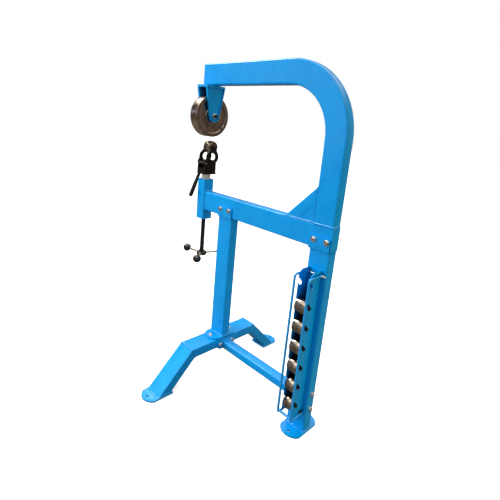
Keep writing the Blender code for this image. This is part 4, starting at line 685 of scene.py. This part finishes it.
def build_screw(black, resin, bar):
    """Threaded screw, hub, bright spokes and ball knobs."""
    centre = middle("adjuster_screw")
    foot = Vector((centre.x, centre.y, 0))
    low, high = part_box("adjuster_screw")
    bottom, top = low.z / MM, high.z / MM
    core = [(SCREW_CORE - 0.9, top), (SCREW_CORE, top - 1), (SCREW_CORE, bottom + 16)]
    core += [(SCREW_COLLAR, bottom + 14), (SCREW_COLLAR, bottom)]
    core = lathe(core, segments=64)
    ridges = thread(SCREW_CORE - 0.2, SCREW_PITCH, low=bottom + 18, high=top - 3, ridge=SCREW_RIDGE)
    finish(put(join([core, ridges]), foot), "adjuster_screw_skin", black, ["adjuster_screw"], "screw")
    low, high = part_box("kick_wheel")
    bottom, top = low.z / MM, high.z / MM
    hub = [(HUB_NECK - 1, top), (HUB_NECK, top - 1), (HUB_NECK, top - 4), (HUB_FOOT, top - 4.6)]
    hub += [(HUB_RADIUS, top - 8), (HUB_RADIUS, bottom + 5), (HUB_RADIUS - 2, bottom + 1)]
    hub += [(HUB_FOOT, bottom)]
    finish(put(lathe(hub, segments=72), foot), "kick_wheel_skin", black, ["kick_wheel"], "screw")
    ball = arc((0, 0), BALL_RADIUS, 86, -73, 30) + [(BALL_NECK, -20.6), (BALL_NECK, -12)]
    spoke = [(SPOKE_RADIUS - 0.4, SPOKE_START), (SPOKE_RADIUS, SPOKE_START + 0.6)]
    spoke += [(SPOKE_RADIUS, SPOKE_END - 1), (SPOKE_RADIUS - 0.4, SPOKE_END)]
    ball, spoke = lathe(ball, segments=64), lathe(spoke, segments=24)
    for i in range(3):
        name = "kick_wheel_ball_" + str(i + 1)
        centre = middle(name)
        hub_centre = Vector((foot.x, foot.y, centre.z))
        outward = (centre - hub_centre).normalized()
        knob = put_copy(ball, hub_centre + outward * BALL_REACH * MM, outward)
        finish(knob, name + "_skin", resin, [name], "screw")
        rod = put_copy(spoke, hub_centre, outward)
        finish(rod, "kick_wheel_spoke_" + str(i + 1), bar, [], "screw")
    for pattern in (ball, spoke):
        bpy.data.objects.remove(pattern)


def pivot_height():
    """Height of the cam shaft's axis, which the release lever turns about."""
    for joint in frame["joints"]:
        if joint["name"] == "release_lever":
            return joint["pos_m"][2]


def build_lever(black):
    """The release lever: round boss, shank and a slightly thicker grip with a round end."""
    low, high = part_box("release_lever")
    pivot = Vector(((low.x + high.x) / 2, 0, pivot_height()))
    angle = math.radians(LEVER_LEAN)
    down = Vector((0, -math.sin(angle), -math.cos(angle)))
    profile = [(8.5, 8), (8.2, 30), (8.5, 66), (9.3, 74), (10.1, 84), (GRIP_RADIUS, 100)]
    profile += arc((0, GRIP_END), GRIP_RADIUS, 0, 84, 8)
    handle = put(lathe(profile, segments=40), pivot, down)
    profile = both_ways([(LEVER_BOSS - 1, LEVER_BOSS_HALF), (LEVER_BOSS, LEVER_BOSS_HALF - 1)])
    boss = put(lathe(profile, segments=56), pivot, X_AXIS)
    finish(join([handle, boss]), "release_lever_skin", black, ["release_lever"], "lever")


def build_ram(metal):
    """The round ram with a broken upper edge and a chamfered foot."""
    low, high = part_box("ram")
    top, bottom = high.z / MM, low.z / MM
    profile = [(RAM_RADIUS - 0.5, top), (RAM_RADIUS, top - 0.5)]
    profile += [(RAM_RADIUS, bottom + 2), (RAM_RADIUS - 2, bottom)]
    finish(put(lathe(profile), Vector((WHEEL_X, 0, 0))), "ram_skin", metal, ["ram"], "ram")


# Rack

# The bail's bar is drawn 1.2 mm larger in radius than its solid, as it looks in the photograph,
# and its centre line as much further out. Its lower ends stop short of the column's near face.
BAIL_RADIUS, BAIL_BEND = 5.2 * MM, 12 * MM
BAIL_INSET = 2.8 * MM
BAIL_END_Y = -26.2 * MM
CROSS_BAR_RISE = 16 * MM
EYE_RADIUS, EYE_BORE, EYE_HALF_WIDTH = 7.5, 3.4, 4
BAIL_NUT_ACROSS, BAIL_NUT_THICKNESS = 10, 5
RUBBER_RADIUS, RUBBER_LENGTH, ROD_RADIUS = 6.5, 9, 3


def bail_side(low, pivot):
    """One bent side of the bail at x 0: a round bar extruded straight and spun round its two bends."""
    front, bottom = low.y + BAIL_INSET, low.z + BAIL_INSET
    start, turn = pivot.y - 6 * MM, front + BAIL_BEND
    bpy.ops.object.select_all(action="DESELECT")
    bpy.ops.mesh.primitive_circle_add(vertices=24, radius=BAIL_RADIUS, fill_type="NGON",
                                      location=(0, start, pivot.z), rotation=(math.pi / 2, 0, 0))
    bpy.ops.object.transform_apply(location=True, rotation=True, scale=True)
    piece = bpy.context.object
    into_edit_mode()
    high_bend, low_bend = pivot.z - BAIL_BEND, bottom + BAIL_BEND
    bpy.ops.mesh.extrude_region_move(TRANSFORM_OT_translate={"value": (0, turn - start, 0)})
    bpy.ops.mesh.spin(steps=10, angle=math.pi / 2, center=(0, turn, high_bend), axis=(-1, 0, 0))
    bpy.ops.mesh.extrude_region_move(TRANSFORM_OT_translate={"value": (0, 0, low_bend - high_bend)})
    bpy.ops.mesh.spin(steps=10, angle=math.pi / 2, center=(0, turn, low_bend), axis=(-1, 0, 0))
    bpy.ops.mesh.extrude_region_move(TRANSFORM_OT_translate={"value": (0, BAIL_END_Y - turn, 0)})
    out_of_edit_mode()
    return piece


def build_bail(paint):
    """The bent bar in front of the spare anvils, with an eye at each end of its long bolt."""
    low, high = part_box("rack_bail")
    pivot = middle("bail_bolt")
    sides = (low.x + BAIL_INSET, high.x - BAIL_INSET)
    edge = 0.6
    profile = [(EYE_BORE, EYE_HALF_WIDTH), (EYE_RADIUS - edge, EYE_HALF_WIDTH)]
    profile.append((EYE_RADIUS, EYE_HALF_WIDTH - edge))
    eye = lathe(both_ways(profile), segments=40, closed=True)
    pieces = copies(bail_side(low, pivot), [((x, 0, 0), Z_AXIS) for x in sides])
    pieces += copies(eye, [((x, pivot.y, pivot.z), X_AXIS) for x in sides])
    radius, width = BAIL_RADIUS / MM, (sides[1] - sides[0]) / MM
    cross = Vector((sides[0], low.y + BAIL_INSET, low.z + CROSS_BAR_RISE))
    pieces.append(put(lathe([(radius, 0), (radius, width)], segments=24), cross, X_AXIS))
    finish(join(pieces), "rack_bail_skin", paint, ["rack_bail"], "bail", smooth=50)


def build_bail_bolt(plating):
    """The long bolt: hexagon head, nut and a length of open thread."""
    low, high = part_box("bail_bolt")
    start = Vector((low.x, middle("bail_bolt").y, middle("bail_bolt").z))
    length = (high.x - low.x) / MM
    head_seat = start + X_AXIS * BAIL_NUT_THICKNESS * MM
    nut_seat = start + X_AXIS * (length - 19) * MM
    nut = hexagon(BAIL_NUT_ACROSS, BAIL_NUT_THICKNESS)
    head, nut = copies(nut, ((head_seat, -X_AXIS), (nut_seat, X_AXIS)))
    shank = put(lathe([(2.6, 4), (2.6, length - 0.6), (2.1, length)], segments=24), start, X_AXIS)
    ridges = thread(2.5, 1, low=length - 20, high=length - 1, ridge=0.45)
    ridges = put(ridges, start, X_AXIS)
    finish(join([head, shank, nut, ridges]), "bail_bolt_skin", plating, ["bail_bolt"], "frame")


def build_stop_rod(black):
    """The rod that the bail rests on, with a rubber sleeve on each end."""
    low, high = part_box("rack_stop_rod")
    end = (high.x - low.x) / 2 / MM
    sleeve = end - RUBBER_LENGTH
    half = [(RUBBER_RADIUS - 1.2, end), (RUBBER_RADIUS, end - 1.2), (RUBBER_RADIUS, sleeve + 1)]
    half += [(RUBBER_RADIUS - 0.5, sleeve), (ROD_RADIUS, sleeve)]
    rod = put(lathe(both_ways(half), segments=40), middle("rack_stop_rod"), X_AXIS)
    finish(rod, "rack_stop_rod_skin", black, ["rack_stop_rod"], "frame")


# Weld beads: places in millimetres from the floor under the upper wheel

BEAD_SPACING = 2
RIPPLE_PERIOD, RIPPLE_SWELL, WANDER_SWELL, WANDER_SCALE = 2.9, 0.14, 0.2, 90
FRONT_COLUMN_X, REAR_COLUMN_X, HOUSING_X = 200, 775, 30.4
TUBE_DEPTH, TUBE_WIDTH, TUBE_CORNER = 100, 50, 8
PLATE_THICKNESS = 8
STRETCHER_HEIGHT, STRETCHER_CORNER, STRETCHER_Z = 40, 6, 158
TUBE_BEAD, STRETCHER_BEAD, MITRE_BEAD, FOOT_BEAD = 3.4, 2.6, 2.6, 3.0


def bead(name, corners, radius, paint, closed=False):
    """A rippled weld bead along a line, painted over: a curve whose thickness swells with each ripple."""
    points = []
    ring = corners + [corners[0]] if closed else corners
    for a, b in zip(ring, ring[1:]):
        count = max(1, round((b - a).length / (BEAD_SPACING * MM)))
        points.extend(a.lerp(b, i / count) for i in range(count))
    if not closed:
        points.append(ring[-1])
    curve = bpy.data.curves.new(name, "CURVE")
    curve.dimensions = "3D"
    curve.bevel_depth = radius * MM
    curve.bevel_resolution = 1
    curve.use_fill_caps = True
    spline = curve.splines.new("POLY")
    spline.points.add(len(points) - 1)
    for i, (point, place) in enumerate(zip(spline.points, points)):
        ripple = RIPPLE_SWELL * math.cos(math.tau * i / RIPPLE_PERIOD)
        point.co = (*place, 1)
        point.radius = 1 + ripple + WANDER_SWELL * noise.noise(place * WANDER_SCALE)
    spline.use_cyclic_u = closed
    piece = bpy.data.objects.new(name, curve)
    bpy.context.scene.collection.objects.link(piece)
    only(piece)
    bpy.ops.object.convert(target="MESH")
    piece = bpy.context.object
    into_edit_mode()
    bpy.ops.mesh.remove_doubles(threshold=MERGE_GAP)
    out_of_edit_mode()
    finish(piece, name, paint, [], "frame", smooth=180)


def loop(centre, side, up, width, height, corner):
    """Points of a rectangle with round corners about a centre, in the plane of side and up."""
    points = []
    for quarter, (sx, sy) in enumerate(((1, -1), (1, 1), (-1, 1), (-1, -1))):
        for k in range(4):
            angle = math.radians((quarter - 1) * 90 + 30 * k)
            x = sx * (width / 2 - corner) + corner * math.cos(angle)
            y = sy * (height / 2 - corner) + corner * math.sin(angle)
            points.append(Vector(centre) + side * x * MM + up * y * MM)
    return points


def place_of(x, y, z):
    """A place in the frame from millimetres about the floor under the upper wheel."""
    return Vector((x, y, z)) * MM + X_AXIS * WHEEL_X


def weld_tubes(paint):
    """Beads round the ends of the large tubes."""
    arm_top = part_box("lower_arm_tube")[1].z / MM
    arm_middle = middle("lower_arm_tube").z / MM
    foot_top = (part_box("front_column")[0].z + PLATE_THICKNESS * MM) / MM
    ring = loop(place_of(HOUSING_X, 0, arm_middle), Y_AXIS, Z_AXIS, TUBE_WIDTH, TUBE_DEPTH, TUBE_CORNER)
    bead("weld_housing", ring, TUBE_BEAD, paint, closed=True)
    for name, x, z in (("weld_upper_column", REAR_COLUMN_X, arm_top),
                       ("weld_front_column", FRONT_COLUMN_X, foot_top),
                       ("weld_rear_column", REAR_COLUMN_X, PLATE_THICKNESS)):
        ring = loop(place_of(x, 0, z), X_AXIS, Y_AXIS, TUBE_DEPTH, TUBE_WIDTH, TUBE_CORNER)
        bead(name, ring, TUBE_BEAD, paint, closed=True)
    low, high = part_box("stretcher")
    for name, end in (("weld_stretcher_front", low.x + PLATE_THICKNESS * MM),
                      ("weld_stretcher_rear", high.x - PLATE_THICKNESS * MM)):
        centre = (end, 0, STRETCHER_Z * MM)
        ring = loop(centre, Y_AXIS, Z_AXIS, TUBE_WIDTH, STRETCHER_HEIGHT, STRETCHER_CORNER)
        bead(name, ring, STRETCHER_BEAD, paint, closed=True)


def weld_side(word, side, paint):
    """Beads of the saddles, the brace, the fork and the stand on one side of the machine."""
    edge, gusset, leg = side * TUBE_WIDTH / 2, side * 22, side * 29
    saddle_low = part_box("front_column")[1].z / MM
    arm_top, throat_back = 949, 725
    plate_edge, leg_root, fork_half = 1475.3, 1463.2, 50
    # The straight beads: name, start, end and radius
    bead_lines = (
        ("weld_front_saddle_", (162, edge, saddle_low), (238, edge, saddle_low), 2.2),
        ("weld_rear_saddle_", (735, edge, saddle_low), (815, edge, saddle_low), 2.2),
        ("weld_brace_low_", (579, gusset, arm_top), (throat_back - 2, gusset, arm_top), 2.8),
        ("weld_brace_high_", (throat_back, gusset, arm_top + 1), (throat_back, gusset, 1093), 2.8),
        ("weld_fork_plate_", (-30, edge, plate_edge), (37, edge, plate_edge), 2.0),
        ("weld_fork_leg_", (leg, -fork_half, leg_root), (leg, fork_half, leg_root), 1.6),
    )
    for name, start, end, radius in bead_lines:
        bead(name + word, [place_of(*start), place_of(*end)], radius, paint)
    # The mitre between beam and leg runs up one side, over the top and down the other.
    inner, bend = side * 197.3, side * 218
    mitre = [(150.5, inner, 146), (150.5, bend, 194), (155, bend, 195),
             (245, bend, 195), (249.5, bend, 194), (249.5, inner, 146)]
    bead("weld_beam_" + word, [place_of(*corner) for corner in mitre], MITRE_BEAD, paint)
    toe, heel, left, right = side * 405, side * 334, 150, 250
    corners = ((left, heel), (left, toe), (right, toe), (right, heel))
    foot = [place_of(x, y, PLATE_THICKNESS) for x, y in corners]
    bead("weld_foot_" + word, foot, FOOT_BEAD, paint, closed=True)


def build_skins(paint, black, plating, bush):
    """The pieces whose form is already right in the solid: rounded edges and a finish."""
    for node in ("c_frame_tube", "lower_arm_tube", "adjuster_housing", "front_column", "rear_column",
                 "front_beam", "front_leg_near", "front_leg_far", "stretcher", "corner_brace"):
        skin(node, paint, 1.0, sharp=60, smooth=52)
    for node in ("front_saddle", "rear_saddle", "fork_top_plate", "fork_leg_front", "fork_leg_rear"):
        skin(node, paint, 0.8)
    for node, material, rounding in (("rack_channel", paint, 0.5), ("yoke", black, 0.7),
                                     ("cradle_block", black, 0.8), ("cam_shaft", black, 0.4),
                                     ("yoke_pivot_pin", plating, 0.4), ("ram_bush", bush, 0.4),
                                     ("wheel_bearing_sleeve", bush, 0.4)):
        skin(node, material, rounding)


def main():
    place_camera()
    build_sky()
    build_stage()
    paint = enamel("blue_enamel", coat=0.06, gloss=(0.2, 0.34))
    # The film pulls thick over a bead and on a bent bar, so there it shines more.
    thick_paint = enamel("blue_enamel_thick", coat=1.0, gloss=(0.12, 0.22))
    black = blackened_steel()
    plating = zinc()
    build_skins(paint, black, plating, bronze())
    build_wheels()
    build_axles(black)
    build_bolts(plating)
    build_axle_nuts(plating)
    build_screw(black, phenolic(), drawn_bar())
    build_lever(black)
    build_ram(chrome())
    build_bail(thick_paint)
    build_bail_bolt(plating)
    build_stop_rod(rubber())
    weld_tubes(thick_paint)
    for word, side in (("near", -1), ("far", 1)):
        weld_side(word, side, thick_paint)


main()
